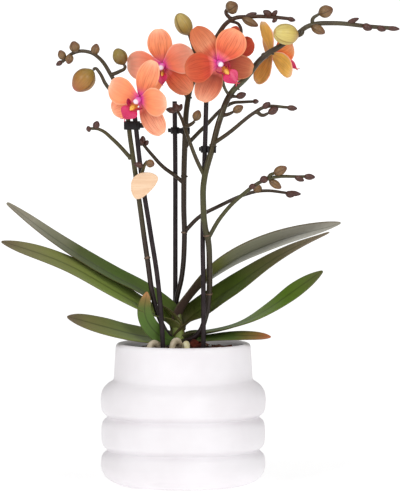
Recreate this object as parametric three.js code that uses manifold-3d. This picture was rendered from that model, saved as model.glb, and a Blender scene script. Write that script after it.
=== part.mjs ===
// A potted moth orchid: three flower spikes tied to canes, in a clear grower pot that stands in a
// white pot with three bulging rings. Millimetres, +Z up, the front of the plant towards -Y, and
// the origin in the middle of the flat foot that the outer pot stands on.

import * as THREE from "three";
import { mergeVertices } from "three/addons/utils/BufferGeometryUtils.js";
import Module from "manifold-3d";

const wasm = await Module();
wasm.setup();

// Driving dimensions
const GAP = 0.35; // air left between two pieces that rest on each other
const POT_HEIGHT = 116.7;
const POT_FOOT_RADIUS = 46;
const POT_NECK_RADIUS = 55.4;
const POT_WALL = 6;
const POT_FLOOR = 8;
const RINGS = [
  { middle: 15.8, radius: 67.9 },
  { middle: 41.8, radius: 67.4 },
  { middle: 70.2, radius: 68.1 },
];
const GROOVES = [
  { height: 28.8, radius: 62.6 },
  { height: 56.2, radius: 62.2 },
  { height: 86.4, radius: 57.2 },
];
const GROWER_HEIGHT = 104;
const GROWER_TOP_RADIUS = 44.5;
const GROWER_FOOT_RADIUS = 33;
const GROWER_WALL = 1.2;
const BARK_TOP = 109;
const CHIP_COUNT = 10;
const CANE_RADIUS = 2;
const CANE_FOOT = 40; // height of the canes' lower ends, down in the bark
const STEM_RADIUS = 2.2;
const LEAF_THICKNESS = 1.8;
const PETAL_THICKNESS = 0.9;
const TAG_THICKNESS = 2;
const TAG_FRONT = -23.5; // the tag's face, ahead of its cane
const SLIVER = 0.05; // triangles thinner than this are dropped after joining and cutting
const BUD_SINK = 0.7; // how deep a small bud's foot sits in its stalk

// Colours
const WHITE_CERAMIC = 0xf6f3f6;
const CLEAR_PLASTIC = 0xd8dedf;
const BARK_BROWN = 0x4a2b20;
const ROOT_GREY = 0xb6a892;
const LEAF_GREEN = 0x55642f;
const CROWN_GREEN = 0x76813f;
const STEM_BROWN = 0x4f4230;
const CANE_BLACK = 0x2a2326;
const TAG_WOOD = 0xeec6a0;
const PETAL_ORANGE = 0xf2946c;
const LIP_CRIMSON = 0xc22a4e;
const COLUMN_PINK = 0xf6cfe4;
const BUD_OLIVE = 0xa78a45;

// Small helpers

const vector = (p) => new THREE.Vector3(...p);
const radians = THREE.MathUtils.degToRad;

// A smooth curve through a few points.
function curveThrough(points) {
  return new THREE.CatmullRomCurve3(points.map(vector), false, "centripetal");
}

// Reads a value between evenly spaced ones, smoothly; u runs from 0 to 1 over all of them.
function along(values, u) {
  const points = values.map((value, i) => new THREE.Vector2(i, value));
  return new THREE.SplineCurve(points).getPoint(u).y;
}

// The same random numbers every time.
function randomFrom(seed) {
  let state = seed;
  return () => {
    state = (state * 1664525 + 1013904223) % 4294967296;
    return state / 4294967296;
  };
}

function geometryOf(positions, triangles) {
  const geometry = new THREE.BufferGeometry();
  geometry.setAttribute("position", new THREE.Float32BufferAttribute(positions, 3));
  geometry.setIndex(triangles);
  return geometry;
}

// A closed body from rings of points, each ring going round anticlockwise as seen from ahead.
function loft(rings) {
  const sides = rings[0].length;
  const last = rings.length - 1;
  const positions = rings.flat().flatMap((p) => [p.x, p.y, p.z]);
  const triangles = [];
  for (let i = 0; i < last; i += 1) {
    for (let j = 0; j < sides; j += 1) {
      const a = i * sides + j;
      const b = i * sides + ((j + 1) % sides);
      triangles.push(a, b, b + sides, a, b + sides, a + sides);
    }
  }
  const ends = [rings[0], rings[last]];
  ends.forEach((ring, end) => {
    const middle = positions.length / 3;
    const sum = ring.reduce((total, p) => total.add(p), new THREE.Vector3());
    positions.push(...sum.divideScalar(sides).toArray());
    for (let j = 0; j < sides; j += 1) {
      const a = end * last * sides + j;
      const b = end * last * sides + ((j + 1) % sides);
      triangles.push(middle, end ? a : b, end ? b : a);
    }
  });
  return geometryOf(positions, triangles);
}

// A round stem along a curve, from one share of its length to another. radiusAt(u) is its radius.
function stem(points, radiusAt, steps, sides, from = 0, to = 1) {
  const curve = curveThrough(points);
  const frames = curve.computeFrenetFrames(steps, false);
  const rings = [];
  for (let i = 0; i <= steps; i += 1) {
    const u = THREE.MathUtils.lerp(from, to, i / steps);
    const middle = curve.getPointAt(u);
    const ring = [];
    for (let j = 0; j < sides; j += 1) {
      const turn = (2 * Math.PI * j) / sides;
      const point = middle.clone();
      point.addScaledVector(frames.normals[i], radiusAt(u) * Math.cos(turn));
      point.addScaledVector(frames.binormals[i], radiusAt(u) * Math.sin(turn));
      ring.push(point);
    }
    rings.push(ring);
  }
  return loft(rings);
}

// A thin blade. at(u, v) gives its middle surface, u from root to tip and v from -1 to 1 across,
// and thicknessAt(u, v) how thick it is. Both faces are split into triangles alike.
function blade(at, thicknessAt, lengthSteps, widthSteps) {
  const row = widthSteps + 1;
  const count = (lengthSteps + 1) * row;
  const middles = [];
  for (let i = 0; i <= lengthSteps; i += 1) {
    for (let j = 0; j <= widthSteps; j += 1) {
      middles.push(at(i / lengthSteps, (2 * j) / widthSteps - 1));
    }
  }
  const upper = [];
  const lower = [];
  for (let i = 0; i <= lengthSteps; i += 1) {
    for (let j = 0; j <= widthSteps; j += 1) {
      const here = middles[i * row + j];
      const ahead = middles[Math.min(i + 1, lengthSteps) * row + j].clone();
      const behind = middles[Math.max(i - 1, 0) * row + j];
      const right = middles[i * row + Math.min(j + 1, widthSteps)].clone();
      const left = middles[i * row + Math.max(j - 1, 0)];
      const normal = ahead.sub(behind).cross(right.sub(left)).normalize();
      const half = thicknessAt(i / lengthSteps, (2 * j) / widthSteps - 1) / 2;
      upper.push(...here.clone().addScaledVector(normal, half).toArray());
      lower.push(...here.clone().addScaledVector(normal, -half).toArray());
    }
  }
  const triangles = [];
  for (let i = 0; i < lengthSteps; i += 1) {
    for (let j = 0; j < widthSteps; j += 1) {
      const a = i * row + j;
      const b = a + 1;
      const c = b + row;
      const d = a + row;
      triangles.push(a, d, c, a, c, b);
      triangles.push(a + count, c + count, d + count, a + count, b + count, c + count);
    }
  }
  const wall = (a, b) => triangles.push(a, a + count, b + count, a, b + count, b);
  for (let i = 0; i < lengthSteps; i += 1) {
    wall(i * row, (i + 1) * row);
    wall((i + 1) * row + widthSteps, i * row + widthSteps);
  }
  for (let j = 0; j < widthSteps; j += 1) {
    wall(j + 1, j);
    wall(lengthSteps * row + j, lengthSteps * row + j + 1);
  }
  return geometryOf([...upper, ...lower], triangles);
}

// Joining and cutting

function solidOf(geometry) {
  const plain = geometry.clone();
  plain.deleteAttribute("normal");
  plain.deleteAttribute("uv");
  const merged = mergeVertices(plain, 1e-4);
  return new wasm.Manifold(
    new wasm.Mesh({
      numProp: 3,
      vertProperties: merged.attributes.position.array,
      triVerts: new Uint32Array(merged.index.array),
    }),
  );
}

// The largest body of a solid, without slivers, crumbs and sealed pockets.
function geometryFrom(solid) {
  const pieces = solid.asOriginal().simplify(SLIVER).decompose();
  pieces.sort((one, other) => other.volume() - one.volume());
  const mesh = pieces[0].getMesh();
  return geometryOf(Array.from(mesh.vertProperties), Array.from(mesh.triVerts));
}

// Joins geometries into one body.
function fused(geometries) {
  const whole = geometries.map(solidOf).reduce((sum, piece) => sum.add(piece));
  const loose = whole.decompose().filter((piece) => piece.volume() > 1);
  if (loose.length > 1) throw new Error("a piece stands loose from the rest");
  return geometryFrom(whole);
}

// Cuts geometries out of a body and keeps the largest piece that is left.
function cutFrom(body, tools) {
  const cutters = tools.map(solidOf);
  return geometryFrom(cutters.reduce((rest, tool) => rest.subtract(tool), solidOf(body)));
}

// Turns a profile of [radius, height] points into a body round the Z axis.
function turned(profile, segments) {
  const points = profile.map(([radius, height]) => new THREE.Vector2(radius, height));
  return new THREE.LatheGeometry(points, segments).rotateX(Math.PI / 2);
}

const potted = new THREE.Group();

function addPiece(name, geometry, color, roughness, parent = potted) {
  const material = new THREE.MeshStandardMaterial({ color, roughness, metalness: 0 });
  const mesh = new THREE.Mesh(geometry, material);
  mesh.name = name;
  parent.add(mesh);
}

// The outer pot: a rounded lip on a straight neck, over three bulging rings.

// Points of a quarter bulge between the widest point of a ring and the bottom of a groove.
function quarterBulge(ring, edge, steps, fullness) {
  const points = [];
  for (let i = 0; i < steps; i += 1) {
    const turn = (Math.PI / 2) * (i / steps);
    const out = Math.cos(turn) ** (2 / fullness);
    const up = Math.sin(turn) ** (2 / fullness);
    points.push([
      edge.radius + (ring.radius - edge.radius) * out,
      ring.middle + (edge.height - ring.middle) * up,
    ]);
  }
  return points;
}

function outerPot() {
  const foot = { height: 0, radius: POT_FOOT_RADIUS };
  const profile = [[0, 0], [POT_FOOT_RADIUS, 0]];
  RINGS.forEach((ring, i) => {
    const below = i === 0 ? foot : GROOVES[i - 1];
    profile.push(...quarterBulge(ring, below, 3, i === 0 ? 2 : 2.4).reverse());
    profile.push(...quarterBulge(ring, GROOVES[i], 3, 2.3).slice(1));
    profile.push([GROOVES[i].radius, GROOVES[i].height]);
  });
  const lip = POT_WALL / 2;
  profile.push([POT_NECK_RADIUS, POT_HEIGHT - 18]);
  for (let i = 0; i <= 3; i += 1) {
    const turn = (Math.PI * i) / 3;
    profile.push([POT_NECK_RADIUS - lip + lip * Math.cos(turn), POT_HEIGHT - lip + lip * Math.sin(turn)]);
  }
  const inside = POT_NECK_RADIUS - POT_WALL;
  profile.push([inside, GROOVES[2].height], [RINGS[2].radius - 9, RINGS[2].middle + 4]);
  profile.push([RINGS[0].radius - 9, POT_FLOOR + 8], [POT_FOOT_RADIUS, POT_FLOOR], [0, POT_FLOOR]);
  return turned(profile, 36);
}

// The clear grower pot: tapered, with a turned-out rim and drain holes in its floor.

const growerFoot = POT_FLOOR + GAP;
const growerTop = growerFoot + GROWER_HEIGHT;

function growerRadiusAt(height) {
  const share = (height - growerFoot) / GROWER_HEIGHT;
  return GROWER_FOOT_RADIUS + (GROWER_TOP_RADIUS - GROWER_FOOT_RADIUS) * share;
}

function growerPot() {
  const wall = GROWER_WALL;
  const body = turned([
    [0, growerFoot],
    [GROWER_FOOT_RADIUS, growerFoot],
    [growerRadiusAt(growerTop - 3), growerTop - 3],
    [GROWER_TOP_RADIUS + 2.5, growerTop - 3],
    [GROWER_TOP_RADIUS + 2.5, growerTop],
    [GROWER_TOP_RADIUS - wall, growerTop],
    [GROWER_FOOT_RADIUS - wall, growerFoot + wall],
    [0, growerFoot + wall],
  ], 28);
  const holes = [];
  for (let i = 0; i < 6; i += 1) {
    const turn = (Math.PI * i) / 3;
    const hole = new THREE.CylinderGeometry(3.5, 3.5, 6, 6).rotateX(Math.PI / 2);
    holes.push(hole.translate(21 * Math.cos(turn), 21 * Math.sin(turn), growerFoot));
  }
  return cutFrom(body, holes);
}

// Canes: bowed rods that stand in plain holes in the bark.

const CANES = {
  left: [
    [-14, -20, CANE_FOOT],
    [-16.5, -23, 117],
    [-20.5, -19, 168],
    [-27, -16, 210.5],
    [-33.5, -13.5, 251.5],
    [-39.5, -12.5, 303.5],
  ],
  middle: [
    [-6, 22, CANE_FOOT],
    [-6.5, 20, 134],
    [-6.5, 18, 200],
    [-6.5, 16, 261],
    [-7, 14, 314.5],
  ],
  right: [
    [14, -20, CANE_FOOT],
    [16.5, -23, 117],
    [16.5, -20, 168.5],
    [16, -15.5, 202.5],
    [17, -14, 250],
    [18.5, -12, 299.5],
    [19, -11, 321],
  ],
};

function cane(points, radius) {
  return stem(points, () => radius, 8, 7);
}

// Leaves: folded straps. rib is the keel, from inside the stem to the tip; joint is the share of
// the rib where the blade ends and the sheath begins; half is the widest half width. roll tips the
// far edge up and fold lifts both edges off the keel, in degrees, at even spaces along the rib.

const STRAP = [0.5, 0.74, 0.92, 0.99, 1, 0.97, 0.88, 0.74, 0.52, 0.14];

const LEAVES = {
  leaf_a: {
    rib: [[-6, 2, 137], [-27, 3, 154], [-60, 4, 172], [-104.5, 8, 200], [-145.5, 12, 231]],
    side: -1, half: 17, joint: 0.17, roll: [8, 14, 14, 14, 16], fold: [26, 14, 10, 8, 8],
  },
  leaf_b: {
    rib: [[-6, 1, 131], [-27, 0, 142], [-56, -2, 159], [-97.5, -6, 182.5], [-149, -10, 201]],
    side: -1, half: 17, joint: 0.16, roll: [10, 20, 17, 14, 14], fold: [26, 12, 8, 8, 8],
  },
  leaf_c: {
    rib: [[-6, 1, 119], [-19, 1, 119.5], [-32, -4, 121.5], [-61.5, -16, 130], [-95, -24, 140]],
    side: -1, half: 13, joint: 0.2, roll: [8, 16, 20, 18, 14], fold: [24, 12, 8, 8, 8],
  },
  leaf_d: {
    rib: [[-6, -5.5, 117.5], [-12, -12, 119.5], [-20, -17, 124.5], [-31, -20, 141], [-29.5, -20, 160.5]],
    side: -1, half: 6.5, joint: 0.36, roll: [-30, -85, -95, -95], fold: [14, 12, 10, 6],
  },
  leaf_e: {
    rib: [[-5, 2, 137], [6.5, 4, 153], [30, 8, 176.5], [68, 12, 196.5], [130, 16, 214.5]],
    side: 1, half: 17, joint: 0.14, roll: [-6, -26, -32, -30, -16], fold: [26, 12, 8, 6, 6],
  },
  leaf_f: {
    rib: [[-3, 1, 130], [15.5, 5, 143], [41.5, 5, 161.5], [83.5, 4, 190], [120.5, 4, 207.5]],
    side: 1, half: 17.5, joint: 0.16, roll: [18, 30, 22, 12, 2], fold: [26, 12, 8, 6, 6],
  },
  leaf_g: {
    rib: [[-3, 1, 122], [18, 0, 124], [46, -6, 132], [70, -10, 145], [92, -13, 161], [114.5, -14, 177]],
    side: 1, half: 12, joint: 0.17, roll: [4, 0, 10, 42, 36], fold: [24, 8, 4, 4, 4],
  },
  leaf_h: {
    rib: [[-3, -1, 118.5], [18, -5, 120], [46.5, -11, 123], [72, -18, 123]],
    side: 1, half: 9, joint: 0.25, roll: [6, 8, 12, 12], fold: [20, 8, 6, 6],
  },
};

// The part of a leaf between two shares of its rib.
function leafBlade(leaf, from, to, steps) {
  const rib = curveThrough(leaf.rib);
  const away = new THREE.Vector3(0, 1, 0);
  const at = (s, v) => {
    const u = from + (to - from) * (1 - (1 - s) ** 1.25);
    const ahead = rib.getTangentAt(u);
    const across = away.clone().addScaledVector(ahead, -away.dot(ahead)).normalize();
    const up = ahead.clone().cross(across).multiplyScalar(leaf.side);
    const half = leaf.half * along(STRAP, u);
    const lean = radians(along(leaf.roll, u) + Math.sign(v) * along(leaf.fold, u));
    return rib
      .getPointAt(u)
      .addScaledVector(across, v * half * Math.cos(lean))
      .addScaledVector(up, v * half * Math.sin(lean));
  };
  const thickness = (s, v) => LEAF_THICKNESS * (1 - 0.45 * Math.abs(v));
  return blade(at, thickness, steps, 2);
}

function leafLength(leaf) {
  return curveThrough(leaf.rib).getLength();
}

// Spikes, each with its side branches, small buds and bracts. Each runs from inside the crown; the
// first few millimetres belong to the crown as a stub.

const STUB = 7; // length of each spike that is part of the crown

const SPIKES = {
  spike_left: {
    main: [
      [-6, -2, 118], [-12, -9, 124], [-16.5, -11.5, 131.5], [-23, -12.5, 149], [-29.5, -13.5, 188.5],
      [-36, -14, 235], [-43, -13.5, 284], [-47.5, -11, 312.5], [-59, -8, 337], [-69.5, -5, 351.5],
      [-79, -2, 356], [-89, 0, 355], [-99, 2, 347.5],
    ],
    steps: 24,
    tip: 1.3,
    branches: [
      [[-43, -13, 269.5], [-57, -17, 284.5], [-68, -20, 293], [-76.5, -22, 294]],
      [[-37.5, -14, 246], [-36.5, -18.5, 251], [-33.5, -20, 258], [-31.5, -26, 264], [-29.5, -33, 267.5]],
      [[-50, -10.5, 317], [-62, -12, 328], [-69, -9, 340], [-72.1, -7.1, 342.4], [-73.5, -7, 341]],
      [[-59, -8, 337], [-52, -11.5, 340], [-47.4, -12.6, 343.2], [-48, -12, 345.5]],
    ],
    buds: [
      [[-87.5, -1, 355], [-90, -2, 364.5], 8.5],
      [[-73, -3, 353], [-70.5, -4, 362.5], 7],
      [[-97.5, 1, 349], [-101, 1, 357], 6.5],
      [[-92, 0, 353.7], [-94, -5, 346], 6.5],
      [[-98.5, 2, 348], [-104, 3, 344.5], 4],
      [[-72, -20.5, 293.5], [-69.5, -23, 300], 5.5],
      [[-75, -22, 294], [-79, -22, 293], 5],
      [[-32, -27, 263.5], [-40, -28, 265.5], 4.5],
      [[-29.8, -32, 267], [-23.5, -36, 265], 6.5],
    ],
  },
  spike_middle: {
    main: [
      [-4, 3, 122], [-5, 10, 129], [-6, 13, 136], [-6, 14, 147], [-1, 12, 171.5], [1, 10, 200.5],
      [0.5, 9, 230.5], [1.5, 9, 282], [3.5, 10, 313.5], [7, 13, 328], [18, 18, 348.5],
      [27, 17, 366.5], [39.5, 14, 381.5], [55, 12, 384], [71, 9, 384], [87.5, 6, 382.5],
    ],
    steps: 26,
    tip: 1.4,
    branches: [
      [[39, 14, 382], [35, 13, 388], [37, 13, 391]],
      [[13, 17, 341], [9, 11, 356.5], [5, 5, 369]],
      [[0.5, 8.5, 247.5], [-6, 12, 253], [-16.5, 8, 261], [-25.5, 4, 271], [-34.5, -1, 282]],
      [[1.5, 9, 208], [14, 6, 220.5], [27.5, 4, 228], [55, 0, 240], [68, -3, 242], [84, -6, 240.5]],
      [[2, 9, 278], [17.5, 6, 294], [39, 4, 313], [50, 2, 314.5], [59, 0, 315]],
    ],
    buds: [
      [[37, 13, 390], [45, 12, 393.5], 9],
      [[48, 11, 383], [61.5, 8, 376.5], 6.5],
      [[50.5, 13, 384], [60.5, 13, 387], 4],
      [[73, 9, 384.5], [65.5, 8, 389], 5.5],
      [[73, 8, 384.5], [77, 7, 389.5], 4],
      [[77, 8.5, 383], [73, 7, 379.5], 3.5],
      [[85, 6.5, 383], [92, 5.5, 381], 4],
      [[-32, 0, 279.5], [-38, -2, 283.5], 5],
      [[-33, 0, 280.5], [-33, -2, 287], 4.5],
      [[-32, 1, 279], [-28.5, -1, 283], 4],
      [[83.5, -6, 240.5], [91, -7, 238], 5.5],
      [[84, -6, 240.5], [96.5, -8, 239.5], 4.5],
      [[64.5, -2, 241.5], [57, -2, 246], 7],
      [[56.5, 1, 315], [62, 0, 315], 4],
    ],
  },
  spike_right: {
    main: [
      [-2, -3, 117.5], [6, -9, 120.5], [13, -12, 126], [18, -13.5, 138], [21, -14, 154.5],
      [21.5, -14.5, 179.5], [20.5, -19, 202.5], [18, -21, 213], [16.5, -22, 231.5],
      [17, -22, 250.5], [23.5, -19, 276.5], [31, -15, 304], [39, -12, 322], [51.5, -11, 335],
      [65, -14, 351.5], [79.5, -13, 361], [91.5, -8, 369], [103, -2, 377], [121.5, 3, 379],
      [154.5, 6, 376], [174.5, 7, 374.5],
    ],
    steps: 34,
    tip: 1.6,
    branches: [
      [[96.5, -5, 372.5], [98.5, -11, 370.5], [96.6, -15.6, 368.6], [94, -17, 369]],
      [[106, 0.5, 377.5], [106, 0, 382.5], [111, -1, 386.5]],
      [[20.5, -19.5, 204], [31, -25, 222], [47.5, -29, 239.5], [69.5, -32, 253.5], [99, -35, 255.5]],
      [[69.5, -32, 253.5], [71, -33, 256.5], [74, -33, 258]],
      [[24.7, -18.3, 281.5], [35.5, -22, 289], [61, -27, 309], [67.5, -28, 312], [85.5, -30, 311.5]],
      [[60, -27, 308], [64.5, -28, 305], [69, -29, 306.5]],
      [[17.5, -21, 255], [10.5, -20, 269.5], [2, -14, 292.5], [-1.5, -11, 302], [-5, -9, 308.5]],
      [[1.5, -13.5, 295], [6.5, -13, 297], [9.5, -13, 299.5]],
      [[39, -12, 320], [43.5, -13, 319.5]],
      [[31.5, -15, 304], [37.5, -15, 305.5], [40.5, -16, 307]],
    ],
    buds: [
      [[110.5, -1, 386.5], [122.5, -3, 391], 10],
      [[104.5, -1.5, 377], [116, -4, 371], 7.5],
      [[134, 4.5, 379], [144, 5, 383], 4],
      [[146.5, 4, 377.5], [154.5, 1, 374], 6],
      [[158, 6, 376], [166, 6, 373], 5],
      [[166, 6.5, 375], [177.5, 7, 374], 4],
      [[73.5, -33, 257.5], [84.5, -34, 263], 7.5],
      [[69, -32.5, 254], [62.5, -36, 252], 6],
      [[59.5, -31.5, 247.5], [53.5, -33, 247], 4.5],
      [[70, -31.5, 252.5], [80, -29, 245.5], 6.5],
      [[90.5, -34, 255.5], [98.5, -36, 252], 4.5],
      [[98, -35, 255.5], [107.5, -36, 255], 5],
      [[64.5, -27.5, 310.5], [71, -29, 315.5], 5],
      [[69, -29, 306.5], [77.5, -31, 311], 6],
      [[84, -30, 311.5], [93, -31, 310.5], 4.5],
      [[-4, -9.5, 307], [-7.5, -11, 314], 6],
      [[-5, -9, 307.5], [-14, -9, 309], 5],
      [[-4, -9, 307], [-1, -9, 313.5], 4],
      [[9.5, -13, 299.5], [13, -13, 308.5], 7],
      [[43, -13, 319], [51.5, -15, 322], 5.5],
      [[40.5, -16, 307], [49, -17, 312], 6.5],
    ],
  },
};

// Large buds with a colour of their own, each on the end of a stalk of the spike.
const LARGE_BUDS = {
  bud_olive_left: { base: [-48, -12, 345.5], tip: [-55, -9, 358.5], width: 12.5 },
  bud_gold_left: { base: [-73.5, -7, 341], tip: [-89, -6, 324.5], width: 19 },
  bud_olive_top: { base: [5, 5, 369], tip: [-4.5, 2.5, 387], width: 14.5 },
  bud_gold_right: { base: [94, -17, 369], tip: [74, -26, 372.5], width: 18 },
};

// Flowers. at is the foot of the column, facing the way the flower looks, roll its turn about that
// way, clockwise as seen from in front. Each tepal has its angle from the top of the flower,
// clockwise, its length and width, and how far it leans forwards and bends back, in degrees.

const BLOOMS = {
  bloom_1: {
    at: [-35, -36, 318.5], facing: [-0.42, -0.88, -0.2], roll: 16, spike: "spike_left",
    from: [[-46.5, -11, 309], [-43.5, -20, 315]],
    sepals: [[7, 33, 20, 2, 20], [133, 33, 22, 8, 10], [-128, 30, 20, 2, 15]],
    petals: [[76, 27, 25, 22, 20], [-78, 27, 25, 16, 20]],
  },
  bloom_2: {
    at: [-16.5, -6, 345], facing: [-0.22, -0.95, -0.2], roll: -7, spike: "spike_middle",
    from: [[4, 11, 316], [-5, 6, 334]],
    sepals: [[0, 29, 22, 2, 15], [142, 31, 21, 8, 10], [-135, 31, 20, 2, 15]],
    petals: [[75, 28, 27, 10, 15], [-82, 29, 26, 8, 15]],
  },
  bloom_3: {
    at: [29, -32, 348], facing: [0.2, -0.95, -0.12], roll: -24, spike: "spike_right",
    from: [[38, -12.5, 320], [34, -17, 326.5], [31, -22, 338]],
    sepals: [[-12, 34, 21, 4, 20], [126, 29, 21, 6, 12], [-134, 34, 23, 4, 15]],
    petals: [[58, 31, 27, 10, 15], [-76, 29, 26, 14, 10]],
  },
  bloom_4: {
    at: [41.5, 27, 350.5], facing: [0.62, 0.72, -0.2], roll: 0, spike: "spike_middle",
    from: [[38, 14.5, 380.5], [46, 18, 377], [46.5, 20, 366]],
    sepals: [[0, 24, 17, 20, 10], [140, 25, 18, 0, 10], [-140, 25, 18, 0, 10]],
    petals: [[76, 22, 22, 22, 10], [-76, 18, 20, 22, 10]],
  },
  bloom_5: {
    at: [73.5, 14, 354], facing: [0.82, 0.55, 0.1], roll: 0, spike: "spike_right",
    from: [[63, -14, 349], [66, -4, 350.5], [68.5, 5, 352]],
    sepals: [[0, 27, 18, -8, 10], [144, 29, 20, -8, 10], [-124, 28, 20, 10, 10]],
    petals: [[60, 27, 24, 20, 10], [-72, 24, 23, 15, 10]],
  },
};

const HUB_BACK = 4; // how far the flower's hub reaches behind the foot of the column

// The flower's own axes: x to its right as seen from in front, y up, z the way it faces.
function flowerAxes(bloom) {
  const z = vector(bloom.facing).normalize();
  const y = new THREE.Vector3(0, 0, 1);
  y.addScaledVector(z, -y.dot(z)).normalize();
  y.applyAxisAngle(z, -radians(bloom.roll));
  return { x: y.clone().cross(z), y, z };
}

// The stalk from the spike to the back of the flower.
function flowerStalk(bloom) {
  const { z } = flowerAxes(bloom);
  const end = vector(bloom.at).addScaledVector(z, -HUB_BACK - GAP);
  const before = end.clone().addScaledVector(z, -6);
  const points = [...bloom.from, before.toArray(), end.toArray()];
  return stem(points, () => 1.3, 5, 5);
}

// One sepal or petal, in the flower's own axes.
function tepal([angle, length, width, lean, bend], claw, widest, depth, cupping) {
  const turn = radians(angle);
  const out = new THREE.Vector3(Math.sin(turn), Math.cos(turn), 0);
  const across = new THREE.Vector3(Math.cos(turn), -Math.sin(turn), 0);
  const start = radians(lean);
  const curl = radians(bend);
  const at = (s, v) => {
    const u = 1 - (1 - s) ** 1.2;
    const rising = claw + (1 - claw) * Math.sin((Math.PI / 2) * Math.min(u / widest, 1)) ** 1.3;
    const ending = Math.sqrt(1 - 0.93 * (Math.max(u - widest, 0) / (1 - widest)) ** 2);
    const half = (width / 2) * rising * ending;
    const reach = (length / curl) * (Math.sin(start) - Math.sin(start - curl * u));
    const rise = (length / curl) * (Math.cos(start - curl * u) - Math.cos(start));
    const cup = cupping * half * v * v;
    const point = new THREE.Vector3(0, 0, depth + rise + cup);
    return point.addScaledVector(out, 1 + reach).addScaledVector(across, v * half);
  };
  return blade(at, () => PETAL_THICKNESS, 5, 4);
}

// The orange parts of a flower: three sepals behind two broader petals, on a hub.
function flowerPetals(bloom) {
  const hub = stem([[0, 0, -HUB_BACK], [0, 0, 1.2]], (u) => 1.5 + 1.6 * u, 1, 7);
  const sepals = bloom.sepals.map((row) => tepal(row, 0.3, 0.55, -1.5, 0.05));
  const petals = bloom.petals.map((row) => tepal(row, 0.2, 0.58, 0.5, 0.14));
  return fused([hub, ...sepals, ...petals]);
}

// The lip: a pointed middle lobe and two lobes that stand up beside the column.
function flowerLip() {
  const middle = blade(
    (u, v) => {
      const half = along([1.6, 2.8, 6.4, 5.4, 0.8], u);
      const sag = -3.4 - 2.4 * u - 8 * u * u + 0.1 * half * v * v;
      return new THREE.Vector3(v * half, sag, 1.7 + 13 * u);
    },
    () => 1,
    4,
    2,
  );
  const lobe = (side) => blade(
    (u, v) => {
      const half = along([1.6, 3, 3.2, 1], u);
      const lean = 1.2 + 5.4 * Math.sin((Math.PI / 2) * u);
      return new THREE.Vector3(side * lean, -4.7 + 7.5 * u * u, 5 + 2.6 * u - v * half);
    },
    () => 0.8,
    3,
    1,
  );
  return fused([middle, lobe(1), lobe(-1)]);
}

function flowerColumn() {
  const radii = [1.6, 1.9, 2.4, 2.4, 1.7];
  return stem([[0, 0, 1.2 + GAP], [0, 0.2, 4.5], [0, -0.7, 8.6]], (u) => along(radii, u), 3, 6);
}

// A bud from its stalk to its tip, slightly pointed.
function bud(base, tip, width, steps, sides) {
  const radiusAt = (u) => (width / 2) * Math.sin(Math.PI * (0.07 + 0.88 * u)) ** 0.75;
  return stem([base, vector(base).lerp(vector(tip), 0.5).toArray(), tip], radiusAt, steps, sides);
}

// A spike's main stem from just past its stub in the crown, made larger all round by extra.
function spikeStem(spike, extra) {
  const length = curveThrough(spike.main).getLength();
  const radiusAt = (u) => THREE.MathUtils.lerp(STEM_RADIUS, spike.tip, u ** 1.4) + extra;
  return stem(spike.main, radiusAt, spike.steps, 6, (STUB + GAP - extra) / length, 1);
}

function spikeStalks(name) {
  const own = Object.values(BLOOMS).filter((bloom) => bloom.spike === name);
  return own.map(flowerStalk);
}

function spikeBody(name) {
  const spike = SPIKES[name];
  const pieces = [spikeStem(spike, 0)];
  spike.branches.forEach((points) => {
    pieces.push(stem(points, (u) => 1.5 - 0.4 * u, points.length, 5));
  });
  spike.buds.forEach(([base, tip, width]) => {
    const foot = vector(base).sub(vector(tip)).setLength(BUD_SINK).add(vector(base)).toArray();
    pieces.push(bud(foot, tip, width, 3, 5));
  });
  return fused([...pieces, ...spikeStalks(name)]);
}

// The crown: the short stem with the leaves' sheaths and the spikes' stubs.

const STEM_FOOT = 113;

// The start of a spike, where it breaks out of the crown.
function spikeStub(spike) {
  const length = curveThrough(spike.main).getLength();
  return stem(spike.main, () => STEM_RADIUS + 0.5, 2, 6, 0, STUB / length);
}

function crown() {
  const middle = [[-4, 0, STEM_FOOT + GAP], [-4, 0, 124], [-4.5, 0.5, 134], [-4, 1.5, 142]];
  const pieces = [stem(middle, (u) => 7.5 - 3.5 * u, 4, 8)];
  Object.values(LEAVES).forEach((leaf) => {
    pieces.push(leafBlade(leaf, 0, leaf.joint - GAP / leafLength(leaf), 3));
  });
  const spikes = Object.values(SPIKES);
  spikes.forEach((spike) => pieces.push(spikeStub(spike)));
  return cutFrom(fused(pieces), spikes.map((spike) => spikeStem(spike, GAP)));
}

// Roots: a brown foot of the stem, roots that loop over the bark, and roots down in it.

const ROOTS = [
  [[-4, -2, 104], [-3.5, -11, 111], [-4, -17, 119], [-7, -22, 119.5], [-10, -28, 111]],
  [[-2, -2, 104], [0.5, -12, 110], [2.5, -20, 117.5], [3.5, -29, 112]],
  [[-6, -2, 104], [-11, -9, 109], [-19, -17.5, 115.5], [-25, -22, 118], [-29, -27, 109]],
  [[-2, 0, 103], [4, 9, 109], [12, 17, 115.5], [20, 22, 109]],
  [[-6, 2, 102], [-16, 6, 88], [-20, -4, 66], [-12, -8, 40]],
  [[-2, 2, 102], [10, 4, 88], [16, 14, 64], [12, 18, 36]],
];

function roots(extra) {
  const foot = stem([[-4, 0, 94 - extra], [-4, 0, STEM_FOOT]], () => 7.5 + extra, 1, 8);
  const strands = ROOTS.map((points) => stem(points, (u) => 3 - 0.8 * u + extra, 5, 5));
  return fused([foot, ...strands]);
}

// The bark: a fill with loose chips on top, with holes for the canes, the roots and the crown.

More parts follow.
